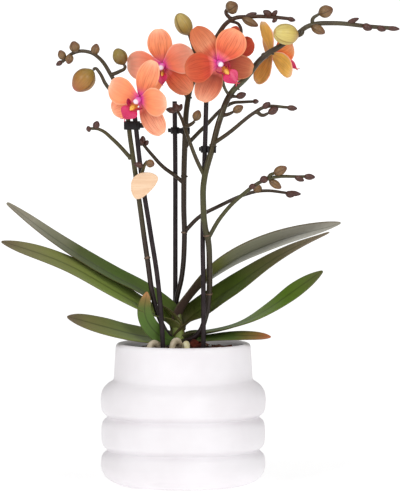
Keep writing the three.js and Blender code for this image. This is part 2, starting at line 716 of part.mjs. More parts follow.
function barkChip(random) {
  const turn = 2 * Math.PI * random();
  const away = 7 + 30 * Math.sqrt(random());
  const chip = new THREE.BoxGeometry(11 + 6 * random(), 7 + 4 * random(), 5 + 3 * random());
  const corners = chip.attributes.position;
  const seen = new Map();
  for (let i = 0; i < corners.count; i += 1) {
    const corner = new THREE.Vector3().fromBufferAttribute(corners, i);
    const key = corner.toArray().map(Math.sign).join();
    if (!seen.has(key)) seen.set(key, [random(), random(), random()]);
    const [x, y, z] = seen.get(key);
    corners.setXYZ(i, corner.x * (0.65 + 0.4 * x), corner.y * (0.65 + 0.4 * y), corner.z * (0.65 + 0.4 * z));
  }
  chip.rotateX(0.9 * (random() - 0.5));
  chip.rotateY(0.9 * (random() - 0.5));
  chip.rotateZ(2 * Math.PI * random());
  const height = BARK_TOP + 4.6 - 0.12 * away;
  return chip.translate(away * Math.cos(turn), away * Math.sin(turn), height);
}

function bark() {
  const random = randomFrom(7);
  const wall = GROWER_WALL + GAP;
  const foot = growerFoot + wall;
  const limit = turned([
    [0, foot],
    [growerRadiusAt(foot) - wall, foot],
    [growerRadiusAt(BARK_TOP + 2) - wall, BARK_TOP + 2],
    [20, BARK_TOP + 7],
    [0, BARK_TOP + 8],
  ], 24);
  const fill = turned([
    [0, foot],
    [growerRadiusAt(foot) - wall, foot],
    [growerRadiusAt(BARK_TOP) - wall, BARK_TOP - 2],
    [12, BARK_TOP + 2],
    [0, BARK_TOP + 2],
  ], 24);
  const chips = Array.from({ length: CHIP_COUNT }, () => barkChip(random));
  const heap = geometryFrom(solidOf(fused([fill, ...chips])).intersect(solidOf(limit)));
  const neck = stem([[-4, 0, STEM_FOOT - 1], [-4, 0, 140]], () => 10, 1, 10);
  const holes = Object.values(CANES).map(([end, ...rest]) => {
    const deeper = vector(end).setZ(CANE_FOOT - GAP).toArray();
    return cane([deeper, ...rest], CANE_RADIUS + GAP);
  });
  return cutFrom(heap, [neck, roots(GAP), ...holes]);
}

// Clips that hold a spike to its cane, each a ring round the cane with an arm to the spike.

const CLIPS = {
  clip_left: { cane: "left", spike: "spike_left", height: 296, tall: 7, closed: true },
  clip_middle: { cane: "middle", spike: "spike_middle", height: 290.5, tall: 5.5, closed: false },
  clip_right: { cane: "right", spike: "spike_right", height: 276.5, tall: 5.5, closed: false },
};

const CLIP_RADIUS = CANE_RADIUS + 1.6;

// Where a rising route passes a height.
function pointAtHeight(points, height) {
  const curve = curveThrough(points);
  let low = 0;
  let high = 1;
  for (let i = 0; i < 30; i += 1) {
    const middle = (low + high) / 2;
    if (curve.getPoint(middle).z < height) low = middle;
    else high = middle;
  }
  return curve.getPoint(low);
}

function disc(centre, radius, tall) {
  const made = new THREE.CylinderGeometry(radius, radius, tall, 12).rotateX(Math.PI / 2);
  return made.translate(centre.x, centre.y, centre.z);
}

function clip({ cane: side, spike: name, height, tall, closed }) {
  const hold = pointAtHeight(CANES[side], height);
  const held = pointAtHeight(SPIKES[name].main, height);
  const turn = Math.atan2(held.y - hold.y, held.x - hold.x);
  const reach = held.distanceTo(hold);
  const arm = new THREE.BoxGeometry(reach, closed ? 2 * CLIP_RADIUS : 2.4, 0.9 * tall);
  arm.translate(reach / 2, 0, 0);
  const wing = new THREE.BoxGeometry(3.4, 1.6, 0.6 * tall).translate(-CLIP_RADIUS - 1.2, 0, 0);
  const parts = [arm, wing].map((box) => box.rotateZ(turn).translate(hold.x, hold.y, hold.z));
  const band = fused([...parts, disc(hold, CLIP_RADIUS, tall), disc(held, closed ? CLIP_RADIUS : 3, tall)]);
  const room = [cane(CANES[side], CANE_RADIUS + GAP), spikeStem(SPIKES[name], GAP)];
  const front = new THREE.BoxGeometry(12, 6, tall + 2).translate(held.x, held.y - 3, held.z);
  return cutFrom(band, closed ? room : [...room, front]);
}

// The plain wooden tag: a rounded triangle, held to the cane by a small clip behind it.

const TAG_AT = { x: -31.5, z: 247.5 };
const TAG_OUTLINE = [
  [-11, -2], [-9.5, 6], [-4.5, 9.6], [1.5, 10.7], [7, 9.6], [10.5, 7.2],
  [11.2, 5], [9, 0.8], [5, -4.6], [0.6, -8.6], [-4, -11.2], [-7, -11], [-9.8, -7.6],
];

function tag() {
  const corners = TAG_OUTLINE.map(([x, z]) => new THREE.Vector2(x, z));
  const plate = new THREE.ExtrudeGeometry(new THREE.Shape(corners), {
    depth: TAG_THICKNESS,
    bevelEnabled: false,
  });
  plate.rotateX(Math.PI / 2);
  return plate.translate(TAG_AT.x, TAG_FRONT + TAG_THICKNESS, TAG_AT.z);
}

function tagClip() {
  const hold = pointAtHeight(CANES.left, TAG_AT.z - 3.5);
  const front = TAG_FRONT + TAG_THICKNESS + GAP;
  const foot = new THREE.BoxGeometry(4, hold.y - front, 5.5);
  foot.translate(hold.x + 0.8, (hold.y + front) / 2, hold.z);
  const room = [cane(CANES.left, CANE_RADIUS + GAP), spikeStem(SPIKES.spike_left, GAP)];
  return cutFrom(fused([disc(hold, CLIP_RADIUS, 5.5), foot]), room);
}

// The whole plant

addPiece("pot", outerPot(), WHITE_CERAMIC, 0.55);
addPiece("grower_pot", growerPot(), CLEAR_PLASTIC, 0.2);
addPiece("bark", bark(), BARK_BROWN, 0.9);
addPiece("roots", roots(0), ROOT_GREY, 0.8);
addPiece("crown", crown(), CROWN_GREEN, 0.5);

Object.entries(LEAVES).forEach(([name, leaf]) => {
  const steps = Math.round(leafLength(leaf) / 14);
  addPiece(name, leafBlade(leaf, leaf.joint, 1, steps), LEAF_GREEN, 0.45);
});

Object.keys(SPIKES).forEach((name) => {
  addPiece(name, spikeBody(name), STEM_BROWN, 0.5);
});

Object.entries(LARGE_BUDS).forEach(([name, { base, tip, width }]) => {
  const ahead = vector(tip).sub(vector(base)).setLength(GAP + 0.2);
  const start = ahead.add(vector(base)).toArray();
  addPiece(name, bud(start, tip, width, 5, 8), BUD_OLIVE, 0.45);
});

Object.entries(CANES).forEach(([side, points]) => {
  addPiece(`cane_${side}`, cane(points, CANE_RADIUS), CANE_BLACK, 0.4);
});

Object.entries(CLIPS).forEach(([name, settings]) => {
  addPiece(name, clip(settings), CANE_BLACK, 0.4);
});
addPiece("tag", tag(), TAG_WOOD, 0.7);
addPiece("tag_clip", tagClip(), CANE_BLACK, 0.4);

Object.entries(BLOOMS).forEach(([name, bloom]) => {
  const { x, y, z } = flowerAxes(bloom);
  const flower = new THREE.Group();
  flower.position.copy(vector(bloom.at));
  flower.setRotationFromMatrix(new THREE.Matrix4().makeBasis(x, y, z));
  addPiece(`${name}_petals`, flowerPetals(bloom), PETAL_ORANGE, 0.5, flower);
  addPiece(`${name}_lip`, flowerLip(), LIP_CRIMSON, 0.45, flower);
  addPiece(`${name}_column`, flowerColumn(), COLUMN_PINK, 0.45, flower);
  potted.add(flower);
});

export default potted;
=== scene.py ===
"""The looks of a potted moth orchid: white pot, bark, roots, leaves, three spikes and flowers.

Pieces are modelled in millimetres, with the front of the plant towards -Y, and end up in metres.
"""

import math
import random

import bmesh
import bpy
from mathutils import Matrix, Vector


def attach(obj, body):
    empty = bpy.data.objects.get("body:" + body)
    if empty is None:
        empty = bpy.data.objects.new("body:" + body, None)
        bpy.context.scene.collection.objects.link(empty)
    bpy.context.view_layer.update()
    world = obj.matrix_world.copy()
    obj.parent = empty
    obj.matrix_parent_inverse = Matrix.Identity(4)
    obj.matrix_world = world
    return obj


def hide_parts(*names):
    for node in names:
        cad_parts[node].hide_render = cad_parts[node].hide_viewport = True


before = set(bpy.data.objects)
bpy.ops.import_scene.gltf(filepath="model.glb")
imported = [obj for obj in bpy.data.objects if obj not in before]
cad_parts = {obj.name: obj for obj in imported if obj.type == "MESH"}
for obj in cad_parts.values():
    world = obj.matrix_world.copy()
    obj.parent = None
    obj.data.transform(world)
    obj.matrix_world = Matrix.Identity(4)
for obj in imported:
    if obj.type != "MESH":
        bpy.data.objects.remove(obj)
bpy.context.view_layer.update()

MM = 0.001
UP = Vector((0, 0, 1))


# Colours, nodes and what materials share


def linear(hex_colour):
    """An sRGB hex colour as linear red, green, blue and alpha."""
    channels = [int(hex_colour[i : i + 2], 16) / 255 for i in (1, 3, 5)]
    return [c / 12.92 if c <= 0.04045 else ((c + 0.055) / 1.055) ** 2.4 for c in channels] + [1]


def add(tree, kind, inputs=None, out=0, stops=None, **settings):
    """Adds a node with its settings, values and links, and returns the output socket asked for."""
    node = tree.nodes.new(f"ShaderNode{kind}")
    for name, value in settings.items():
        setattr(node, name, value)
    for name, value in (inputs or {}).items():
        socket = next(s for s in node.inputs if name in (s.identifier, s.name))
        if isinstance(value, bpy.types.NodeSocket):
            tree.links.new(value, socket)
        else:
            socket.default_value = linear(value) if isinstance(value, str) else value
    if stops:
        ramp = node.color_ramp
        ramp.elements.remove(ramp.elements[1])
        for i, (place, colour) in enumerate(stops):
            element = ramp.elements[0] if i == 0 else ramp.elements.new(place)
            element.position = place
            element.color = linear(colour)
    return node.outputs[out] if len(node.outputs) else node


def new_material(name):
    """An empty material, its node tree and the outputs of its coordinates node."""
    material = bpy.data.materials.new(name)
    material.use_nodes = True
    tree = material.node_tree
    tree.nodes.clear()
    return material, tree, add(tree, "TexCoord").node.outputs


def finished(material, tree, looks):
    """Ends a material with one shader that has these looks."""
    shader = add(tree, "BsdfPrincipled", looks)
    add(tree, "OutputMaterial", {"Surface": shader})
    return material


def marks(coords, size, detail):
    """What a pattern on a piece needs to have marks of a size, in millimetres."""
    return {"Vector": coords["Object"], "Scale": 1 / (size * MM), "Detail": detail}


def clouded(tree, coords, size, detail, stops):
    """Colours that pass into each other in clouds of a size."""
    cloud = add(tree, "TexNoise", marks(coords, size, detail))
    return add(tree, "ValToRGB", {"Fac": cloud}, stops=stops)


def grainy(tree, coords, size, detail, strength, depth):
    """Grains of a size: their pattern, and the fine roughness that they make."""
    grain = add(tree, "TexNoise", marks(coords, size, detail))
    bump = {"Strength": strength, "Distance": depth * MM, "Height": grain}
    return grain, add(tree, "Bump", bump)


def drifting(tree, coords, along, size, amount, stops):
    """Colours along a piece, which reach forward and back in patches of a size."""
    patch = add(tree, "TexNoise", marks(coords, size, 3))
    reach = {"Value": patch, "Value_001": amount, "Value_002": along}
    drift = add(tree, "Math", reach, operation="MULTIPLY_ADD")
    shifted = add(tree, "Math", {"Value": drift, "Value_001": amount / 2}, operation="SUBTRACT")
    return add(tree, "ValToRGB", {"Fac": shifted}, stops=stops)


def drawn_out(tree, place, scale, detail=2, roughness=0.5):
    """Streaks: a pattern that is drawn out along a blade or along the grain."""
    drawn = add(tree, "Mapping", {"Vector": place, "Scale": scale})
    inputs = {"Vector": drawn, "Scale": 1, "Detail": detail, "Roughness": roughness}
    return add(tree, "TexNoise", inputs)


def over(tree, body, colour, measure, span, shares):
    """A colour laid over another one, by shares that change over the span of a measure."""
    share = add(tree, "MapRange", {
        "Value": measure, "From Min": span[0], "From Max": span[1], "To Min": shares[0],
        "To Max": shares[1]})
    colours = {"Factor_Float": share, "A_Color": body, "B_Color": colour}
    return add(tree, "Mix", colours, out=2, data_type="RGBA")


def shaded(tree, colour, pattern, darkest, lightest):
    """A colour made darker and lighter by a pattern."""
    value = add(tree, "MapRange", {
        "Value": pattern, "From Min": 0.3, "From Max": 0.7, "To Min": darkest, "To Max": lightest})
    return add(tree, "HueSaturation", {"Color": colour, "Value": value})


def on_blade(tree, coords):
    """How far along a blade a point is, from 0 to 1, and how far off its middle, up to 0.5."""
    place = add(tree, "SeparateXYZ", {"Vector": coords["UV"]}).node.outputs
    offset = add(tree, "Math", {"Value": place["Y"], "Value_001": 0.5}, operation="SUBTRACT")
    return place["X"], add(tree, "Math", {"Value": offset}, operation="ABSOLUTE")


# Selection and editing


def only(*objects):
    """Selects these objects alone and makes the first one active."""
    bpy.ops.object.select_all(action="DESELECT")
    for thing in objects:
        thing.select_set(True)
    bpy.context.view_layer.objects.active = objects[0]


def begun(primitive, **settings):
    """A new mesh from a primitive's operator, selected alone."""
    bpy.ops.object.select_all(action="DESELECT")
    primitive(**settings)
    return bpy.context.object


def pick(test):
    """In edit mode, selects the vertices whose place passes a test."""
    shape = bpy.context.edit_object.data
    mesh = bmesh.from_edit_mesh(shape)
    for vertex in mesh.verts:
        vertex.select_set(test(vertex.co))
    mesh.select_flush_mode()
    bmesh.update_edit_mesh(shape)


def stretch(test, value, centre=(0, 0, 0)):
    """In edit mode, scales the vertices whose place passes a test."""
    pick(test)
    bpy.ops.transform.resize(value=value, center_override=centre)


def shift(test, value):
    """In edit mode, moves the vertices whose place passes a test."""
    pick(test)
    bpy.ops.transform.translate(value=value)


def edit(thing):
    """Opens an object's mesh in edit mode with all of it selected."""
    only(thing)
    bpy.ops.object.mode_set(mode="EDIT")
    bpy.ops.mesh.select_mode(type="VERT")
    bpy.ops.mesh.select_all(action="SELECT")


def close_edit():
    bpy.ops.object.mode_set(mode="OBJECT")


def modify(thing, kind, **settings):
    """Adds a modifier with its settings and applies it."""
    only(thing)
    modifier = thing.modifiers.new(kind.lower(), kind)
    for name, value in settings.items():
        setattr(modifier, name, value)
    bpy.ops.object.modifier_apply(modifier=modifier.name)


def smooth(thing, levels):
    modify(thing, "SUBSURF", levels=levels, render_levels=levels)


def close_up(thing):
    """Joins the points that meet and turns all faces outwards."""
    edit(thing)
    bpy.ops.mesh.remove_doubles(threshold=0.001)
    bpy.ops.mesh.normals_make_consistent(inside=False)
    close_edit()


def dress(thing, *materials):
    thing.data.materials.clear()
    for material in materials:
        thing.data.materials.append(material)


def joined(things):
    """Several objects as one."""
    only(*things)
    if len(things) > 1:
        bpy.ops.object.join()
    return bpy.context.view_layer.objects.active


def put(thing, matrix):
    """Moves a mesh by a matrix, so that its object stays at the origin."""
    only(thing)
    thing.matrix_world = matrix
    bpy.ops.object.transform_apply(location=True, rotation=True, scale=True)


def settle(piece, name, slot, *nodes, angle=50):
    """Turns a finished piece to metres, names it and hands it over in place of CAD nodes."""
    put(piece, Matrix.Scale(MM, 4))
    bpy.ops.object.shade_smooth_by_angle(angle=math.radians(angle))
    piece.name = name
    piece.data.name = name
    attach(piece, "root")
    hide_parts(*nodes)


def towards(way):
    """The turn that takes the Z axis to a direction."""
    return way.to_track_quat("Z", "Y").to_matrix().to_4x4()


def between(values, share):
    """Reads a value between evenly spaced ones; share runs from 0 to 1 over all of them."""
    place = min(max(share, 0), 1) * (len(values) - 1)
    i = min(int(place), len(values) - 2)
    return values[i] + (values[i + 1] - values[i]) * (place - i)


def shares_along(points):
    """How far along a route each of its points is, from 0 to 1."""
    steps = [(Vector(b) - Vector(a)).length for a, b in zip(points, points[1:])]
    return [sum(steps[:i]) / sum(steps) for i in range(len(points))]


# Shapes


def curve_through(points, handles):
    """A curve through points, with all its handles of one kind."""
    bpy.ops.curve.primitive_bezier_curve_add()
    curve = bpy.context.object
    spline = curve.data.splines[0]
    spline.bezier_points.add(len(points) - 2)
    for point, place in zip(spline.bezier_points, points):
        point.co = place
        point.handle_left_type = handles
        point.handle_right_type = handles
    curve.data.dimensions = "3D"
    return curve


def meshed(curve):
    only(curve)
    bpy.ops.object.convert(target="MESH")
    return bpy.context.object


def tube(points, radii, material, roundness, steps):
    """A round stem through points. radii is spread evenly along it."""
    curve = curve_through(points, "AUTO")
    for point, share in zip(curve.data.splines[0].bezier_points, shares_along(points)):
        point.radius = between(radii, share)
    curve.data.twist_mode = "MINIMUM"
    curve.data.bevel_depth = 1
    curve.data.bevel_resolution = roundness
    curve.data.resolution_u = steps
    curve.data.use_fill_caps = True
    thing = meshed(curve)
    dress(thing, material)
    return thing


def spun(profile, steps, material):
    """Spins a profile of [radius, height] points round the Z axis."""
    curve = curve_through([(radius, 0, height) for radius, height in profile], "VECTOR")
    curve.data.resolution_u = 1
    thing = meshed(curve)
    edit(thing)
    bpy.ops.mesh.spin(steps=steps, angle=2 * math.pi, center=(0, 0, 0), axis=(0, 0, 1))
    close_edit()
    close_up(thing)
    dress(thing, material)
    return thing


def strap(rib, up, half_widths, rises, materials, thickness, tilts=(0, 0), sharp=2.0, columns=4,
          wave=0, chance=None):
    """A blade bent along a rib. up is the way its face looks, half_widths and rises give for each
    row of the grid how wide it is and how far its edges rise, tilts how far it rolls, sharp how
    its section bends and wave how far its face is out of true."""
    stand = towards(up)
    guide = curve_through([stand.inverted() @ Vector(point) for point in rib], "AUTO")
    for point, share in zip(guide.data.splines[0].bezier_points, shares_along(rib)):
        point.radius = 1
        point.tilt = math.radians(between(tilts, share))
    guide.data.twist_mode = "Z_UP"
    guide.data.resolution_u = 16
    length = guide.data.splines[0].calc_length()
    rows = len(half_widths) - 1
    grid = bpy.ops.mesh.primitive_grid_add
    thing = begun(grid, x_subdivisions=rows, y_subdivisions=columns, size=2)
    edit(thing)
    bpy.ops.transform.translate(value=(1, 0, 0))
    bpy.ops.transform.resize(value=(length / 2, 1, 1), center_override=(0, 0, 0))
    near = 0.01
    for i in range(columns // 2):
        across = 1 - 2 * i / columns
        shift(lambda co: abs(abs(co.y) - across) < near, (0, 0, across**sharp))
    for i, (half, rise) in enumerate(zip(half_widths, rises)):
        place = length * i / rows
        stretch(lambda co: abs(co.x - place) < near, (1, half, rise), (place, 0, 0))
    if wave:
        pick(lambda co: co.x > 0.2 * length)
        bpy.ops.transform.vertex_random(offset=wave, normal=1, seed=chance.randrange(10000))
    close_edit()
    modify(thing, "CURVE", object=guide)
    bpy.data.objects.remove(guide)
    dress(thing, *materials)
    back = len(materials) - 1
    modify(thing, "SOLIDIFY", thickness=thickness, offset=0, material_offset=back)
    smooth(thing, 2)
    put(thing, stand)
    return thing


def egg(base, tip, width, material, trefoil=0.0, point=0.75):
    """A bud between two points: a ball drawn out, with three seams sunk by the share trefoil and a
    tip as blunt as point."""
    start = Vector(base)
    way = Vector(tip) - start
    ball = bpy.ops.mesh.primitive_uv_sphere_add
    thing = begun(ball, segments=18, ring_count=10, radius=1)
    edit(thing)
    if trefoil:
        sunk = (1 - trefoil, 1 - trefoil, 1)
        stretch(lambda co: math.cos(3 * math.atan2(co.y, co.x)) > 0.9, sunk)
    stretch(lambda co: co.z > 0.55, (point, point, 1))
    stretch(lambda co: co.z < -0.75, (0.8, 0.8, 1))
    close_edit()
    smooth(thing, 1)
    size = Matrix.Diagonal((width / 2, width / 2, way.length / 2, 1))
    put(thing, Matrix.Translation(start + way / 2) @ towards(way) @ size)
    dress(thing, material)
    return thing


# Materials


def matte_glazed_ceramic():
    """Cast earthenware under a thin white matte glaze: an even, soft sheen with no sharp mirror."""
    material, tree, coords = new_material("matte_glazed_ceramic")
    return finished(material, tree, {
        "Base Color": clouded(tree, coords, 45, 3, [(0.35, "#eae6e9"), (0.65, "#f1eef1")]),
        "Roughness": 0.42, "IOR": 1.5, "Specular IOR Level": 0.4,
        "Normal": grainy(tree, coords, 1.6, 2, 0.06, 0.2)[1]})


def clear_polypropylene():
    """Thin thermoformed plastic: glossy and see-through, a little milky."""
    material, tree, coords = new_material("clear_polypropylene")
    haze = add(tree, "TexNoise", marks(coords, 12, 2))
    gloss = add(tree, "MapRange", {"Value": haze, "To Min": 0.12, "To Max": 0.3})
    return finished(material, tree, {
        "Base Color": "#eef2f2", "Roughness": gloss, "IOR": 1.49, "Transmission Weight": 0.6})


def pine_bark(name, dark, light):
    """Broken pine bark: dry and rough, layered, dark red-brown with paler cork."""
    material, tree, coords = new_material(name)
    return finished(material, tree, {
        "Base Color": clouded(tree, coords, 7, 5, [(0.3, dark), (0.7, light)]),
        "Roughness": 0.9, "Specular IOR Level": 0.25,
        "Normal": grainy(tree, coords, 1.5, 4, 0.6, 0.8)[1]})


def root_skin(name, pale, dark):
    """The spongy skin of an air root: dull and felt-like, silver-grey with greener patches."""
    material, tree, coords = new_material(name)
    return finished(material, tree, {
        "Base Color": clouded(tree, coords, 6, 3, [(0.35, dark), (0.6, pale)]),
        "Roughness": 0.8, "Specular IOR Level": 0.3,
        "Normal": grainy(tree, coords, 0.8, 3, 0.35, 0.3)[1]})


def leaf_skin(name, stops):
    """A fleshy orchid leaf: waxy and half glossy, faint veins lengthwise, painted shade that
    darkens the groove along its middle, and a purplish edge. The colours in stops run from its root
    to its tip."""
    material, tree, coords = new_material(name)
    along, away = on_blade(tree, coords)
    body = drifting(tree, coords, along, 22, 0.16, stops)
    # painted shade: the colour is darkened along the groove down the middle of the blade
    painted_groove_shade = over(tree, body, "#2c3312", away, (0.015, 0.06), (0.5, 0))
    edged = over(tree, painted_groove_shade, "#5a4a3c", away, (0.46, 0.5), (0, 0.7))
    veins = drawn_out(tree, coords["UV"], (3, 60, 1))
    bump = add(tree, "Bump", {"Strength": 0.15, "Distance": 0.4 * MM, "Height": veins})
    return finished(material, tree, {
        "Base Color": shaded(tree, edged, veins, 0.86, 1.1), "Roughness": 0.4, "IOR": 1.45,
        "Specular IOR Level": 0.27, "Normal": bump})


def stem_skin(name, stops, low, high):
    """A woody green spike: smooth and waxy, purple-brown low down and greener above, with fine
    speckles. The colours in stops run from the height low to the height high, in millimetres."""
    material, tree, coords = new_material(name)
    height = add(tree, "SeparateXYZ", {"Vector": coords["Object"]}, out="Z")
    risen = add(tree, "MapRange", {"Value": height, "From Min": low * MM, "From Max": high * MM})
    body = drifting(tree, coords, risen, 14, 0.3, stops)
    speck, bump = grainy(tree, coords, 1.8, 2, 0.12, 0.3)
    return finished(material, tree, {
        "Base Color": shaded(tree, body, speck, 0.82, 1.15), "Roughness": 0.3,
        "Specular IOR Level": 0.34, "Normal": bump})


def bud_skin(name, stops, stripe):
    """A closed flower bud: waxy, with faint stripes from its foot to its tip and three darker
    seams. The colours in stops run from foot to tip."""
    material, tree, coords = new_material(name)
    place = add(tree, "SeparateXYZ", {"Vector": coords["UV"]}).node.outputs
    body = add(tree, "ValToRGB", {"Fac": place["Y"]}, stops=stops)
    thrice = {"Value": place["X"], "Value_001": 3 * 2 * math.pi}
    turned = add(tree, "Math", thrice, operation="MULTIPLY")
    wave = add(tree, "Math", {"Value": turned}, operation="COSINE")
    seam = add(tree, "MapRange", {
        "Value": wave, "From Min": 0.93, "From Max": 1, "To Min": 0, "To Max": 0.75})
    streaks = drawn_out(tree, coords["UV"], (42, 2, 1))
    streaked = add(tree, "MapRange", {
        "Value": streaks, "From Min": 0.45, "From Max": 0.7, "To Min": 0, "To Max": 0.35})
    share = add(tree, "Math", {"Value": seam, "Value_001": streaked}, operation="MAXIMUM")
    bump = add(tree, "Bump", {"Strength": 0.2, "Distance": 0.3 * MM, "Height": streaks})
    return finished(material, tree, {
        "Base Color": over(tree, body, stripe, share, (0, 1), (0, 1)), "Roughness": 0.38,
        "Specular IOR Level": 0.5, "Normal": bump})


def moulded_black_plastic(name, dark, light):
    """Injection-moulded polypropylene: nearly black, with a soft warm shine and faint scuffs."""
    material, tree, coords = new_material(name)
    scuff = add(tree, "TexNoise", marks(coords, 5, 4))
    gloss = add(tree, "MapRange", {"Value": scuff, "To Min": 0.28, "To Max": 0.5})
    return finished(material, tree, {
        "Base Color": add(tree, "ValToRGB", {"Fac": scuff}, stops=[(0.3, dark), (0.75, light)]),
        "Roughness": gloss, "IOR": 1.49, "Specular IOR Level": 0.28})


def birch_plywood(name, dark, light):
    """Thin birch ply, left bare: pale, matte, with fine darker grain lines and toasted edges."""
    material, tree, coords = new_material(name)
    grain = drawn_out(tree, coords["Object"], (60, 400, 900), 3)
    bump = add(tree, "Bump", {"Strength": 0.2, "Distance": 0.2 * MM, "Height": grain})
    return finished(material, tree, {
        "Base Color": add(tree, "ValToRGB", {"Fac": grain}, stops=[(0.3, dark), (0.7, light)]),
        "Roughness": 0.65, "Specular IOR Level": 0.3, "Normal": bump})


def petal_skin(name, stops, vein, rim, vein_share=0.45):
    """A petal: soft and fine-grained, letting a little light through, with darker veins that fan
    out from its claw and a paler rim. The colours in stops run from the claw to the tip."""
    material, tree, coords = new_material(name)
    along, away = on_blade(tree, coords)
    body = drifting(tree, coords, along, 11, 0.24, stops)
    # painted light and shade: broad streaks along the petal make its colour lighter and darker,
    # standing for its folds
    painted_fold_shade = drawn_out(tree, coords["UV"], (1.2, 7, 1))
    lines = drawn_out(tree, coords["UV"], (1.6, 24, 1), 2, 0.6)
    streaked = over(tree, body, vein, lines, (0.48, 0.62), (0, vein_share))
    doubled = add(tree, "Math", {"Value": away, "Value_001": 2}, operation="MULTIPLY")
    outer = add(tree, "Math", {"Value": doubled, "Value_001": along}, operation="MAXIMUM")
    rimmed = over(tree, streaked, rim, outer, (0.86, 0.98), (0, 0.6))
    bump = add(tree, "Bump", {"Strength": 0.25, "Distance": 0.5 * MM, "Height": lines})
    return finished(material, tree, {
        "Base Color": shaded(tree, rimmed, painted_fold_shade, 0.9, 1.1), "Roughness": 0.55,
        "Specular IOR Level": 0.25, "Normal": bump, "Subsurface Weight": 0.1,
        "Subsurface Radius": (4 * MM, 1.5 * MM, 1 * MM)})


def lip_skin(name, stops, spot):
    """The waxy lip: glossier than the petals, with a few spots near its foot."""
    material, tree, coords = new_material(name)
    along = add(tree, "SeparateXYZ", {"Vector": coords["UV"]}, out="X")
    body = add(tree, "ValToRGB", {"Fac": along}, stops=stops)
    spots = add(tree, "TexVoronoi", {"Vector": coords["Object"], "Scale": 1 / (1.6 * MM)})
    return finished(material, tree, {
        "Base Color": over(tree, body, spot, spots, (0.18, 0.3), (0.7, 0)), "Roughness": 0.35,
        "Specular IOR Level": 0.5, "Subsurface Weight": 0.1,
        "Subsurface Radius": (3 * MM, 1 * MM, 1 * MM)})


# The pot and what fills it

POT_HEIGHT = 116.7
POT_NECK_RADIUS = 55.4
POT_FOOT_RADIUS = 46
POT_WALL = 6
RING_WALL = 9
RING_STEPS = 60
NECK_BASE = 88
LIP_STEPS = 8
POT_FLOOR = 8
RINGS = [(15.8, 67.9), (42.5, 67.6), (70.2, 68.1)]
GROOVES = [(28.8, 62.4), (56.2, 62.2)]
GROOVE_WIDTH = 2.5
FOOT_CURVE = [(51.5, 0.5), (56, 1.6), (60.5, 3.7), (64.2, 7), (66.6, 11)]
SHOULDER_CURVE = [(67.7, 73.8), (66.8, 77.2), (65.4, 79.8), (63.8, 81.8), (61.7, 83.6),
                  (59.8, 84.8), (58.2, 85.8), (57.4, 86.8), (57, 88.4), (56.8, 92), (56.2, 103)]
GROWER_FOOT = 8.35
GROWER_TOP = 112.35
GROWER_FOOT_RADIUS = 33
GROWER_TOP_RADIUS = 44.5
GROWER_WALL = 1.2
GROWER_RIM = (2.5, 3)
DRAIN_HOLES = 6
DRAIN_RING = 21
DRAIN_RADIUS = 3.5
BARK_TOP = 109
BARK_CLEARANCE = 0.35
HEAP_SLOPE = 0.1
MOST_LEAN = 0.5
CHIP_COUNT = 90
CHIP_SIZES = [(8, 16), (6, 11), (3, 6)]
PERLITE_COUNT = 14
PERLITE_SIZES = [(2, 4), (2, 4), (2, 3)]
CHIP_BROWNS = [("#3a1e14", "#7a4630"), ("#46281a", "#80523a"), ("#2a1811", "#5e3a2a")]
CHIPS_BY_THE_CROWN = [
    ((9, -11, 117), (6, 5, 6), 0.5), ((13, -14, 114.5), (6, 6, 5), -0.4),
    ((7, -18, 112), (9, 7, 5), 0.3), ((15, -8, 117), (5, 4, 4), 0.8),
    ((-12, -14, 112), (9, 7, 5), -0.2), ((27, -22, 112), (10, 7, 5), 0.2),
    ((36, -14, 112.5), (9, 8, 5), -0.3),
]


def pot_radius(height):
    """The pot's outer radius between its lowest and highest ring."""
    ring = min(RINGS, key=lambda known: abs(known[0] - height))[1]
    groove = min(GROOVES, key=lambda known: abs(known[0] - height))
    return ring - (ring - groove[1]) / (1 + ((height - groove[0]) / GROOVE_WIDTH) ** 2)


def make_pot():
    low, high = RINGS[0][0], RINGS[-1][0]
    heights = [low + (high - low) * i / RING_STEPS for i in range(RING_STEPS + 1)]
    rings = [(pot_radius(height), height) for height in heights]
    bend = POT_WALL / 2
    lip = []
    for i in range(LIP_STEPS + 1):
        turn = math.pi * i / LIP_STEPS
        out, up = bend * math.cos(turn), bend * math.sin(turn)
        lip.append((POT_NECK_RADIUS - bend + out, POT_HEIGHT - bend + up))
    inside = [(POT_NECK_RADIUS - POT_WALL, NECK_BASE),
              (RINGS[2][1] - RING_WALL, RINGS[2][0] + 4),
              (RINGS[0][1] - RING_WALL, POT_FLOOR + 8), (POT_FOOT_RADIUS, POT_FLOOR),
              (0, POT_FLOOR)]
    profile = [(0, 0), (POT_FOOT_RADIUS, 0), *FOOT_CURVE, *rings, *SHOULDER_CURVE, *lip, *inside]
    pot = spun(profile, 96, matte_glazed_ceramic())
    settle(pot, "outer_pot", "white_ceramic", "pot", angle=40)


def make_grower_pot():
    foot, top, wall = GROWER_FOOT, GROWER_TOP, GROWER_WALL
    rim_width, rim_height = GROWER_RIM
    under_rim = top - rim_height
    share = (under_rim - foot) / (top - foot)
    shoulder = GROWER_FOOT_RADIUS + (GROWER_TOP_RADIUS - GROWER_FOOT_RADIUS) * share
    outside = [(0, foot), (GROWER_FOOT_RADIUS, foot), (shoulder, under_rim)]
    rim = [(GROWER_TOP_RADIUS + rim_width, under_rim), (GROWER_TOP_RADIUS + rim_width, top)]
    inside = [(GROWER_TOP_RADIUS - wall, top), (GROWER_FOOT_RADIUS - wall, foot + wall),
              (0, foot + wall)]
    pot = spun(outside + rim + inside, 72, clear_polypropylene())
    for i in range(DRAIN_HOLES):
        turn = 2 * math.pi * i / DRAIN_HOLES
        place = (DRAIN_RING * math.cos(turn), DRAIN_RING * math.sin(turn), foot)
        rod = bpy.ops.mesh.primitive_cylinder_add
        drill = begun(rod, vertices=24, radius=DRAIN_RADIUS, depth=6, location=place)
        modify(pot, "BOOLEAN", object=drill, operation="DIFFERENCE")
        bpy.data.objects.remove(drill)
    settle(pot, "clear_inner_pot", "clear_plastic", "grower_pot", angle=30)


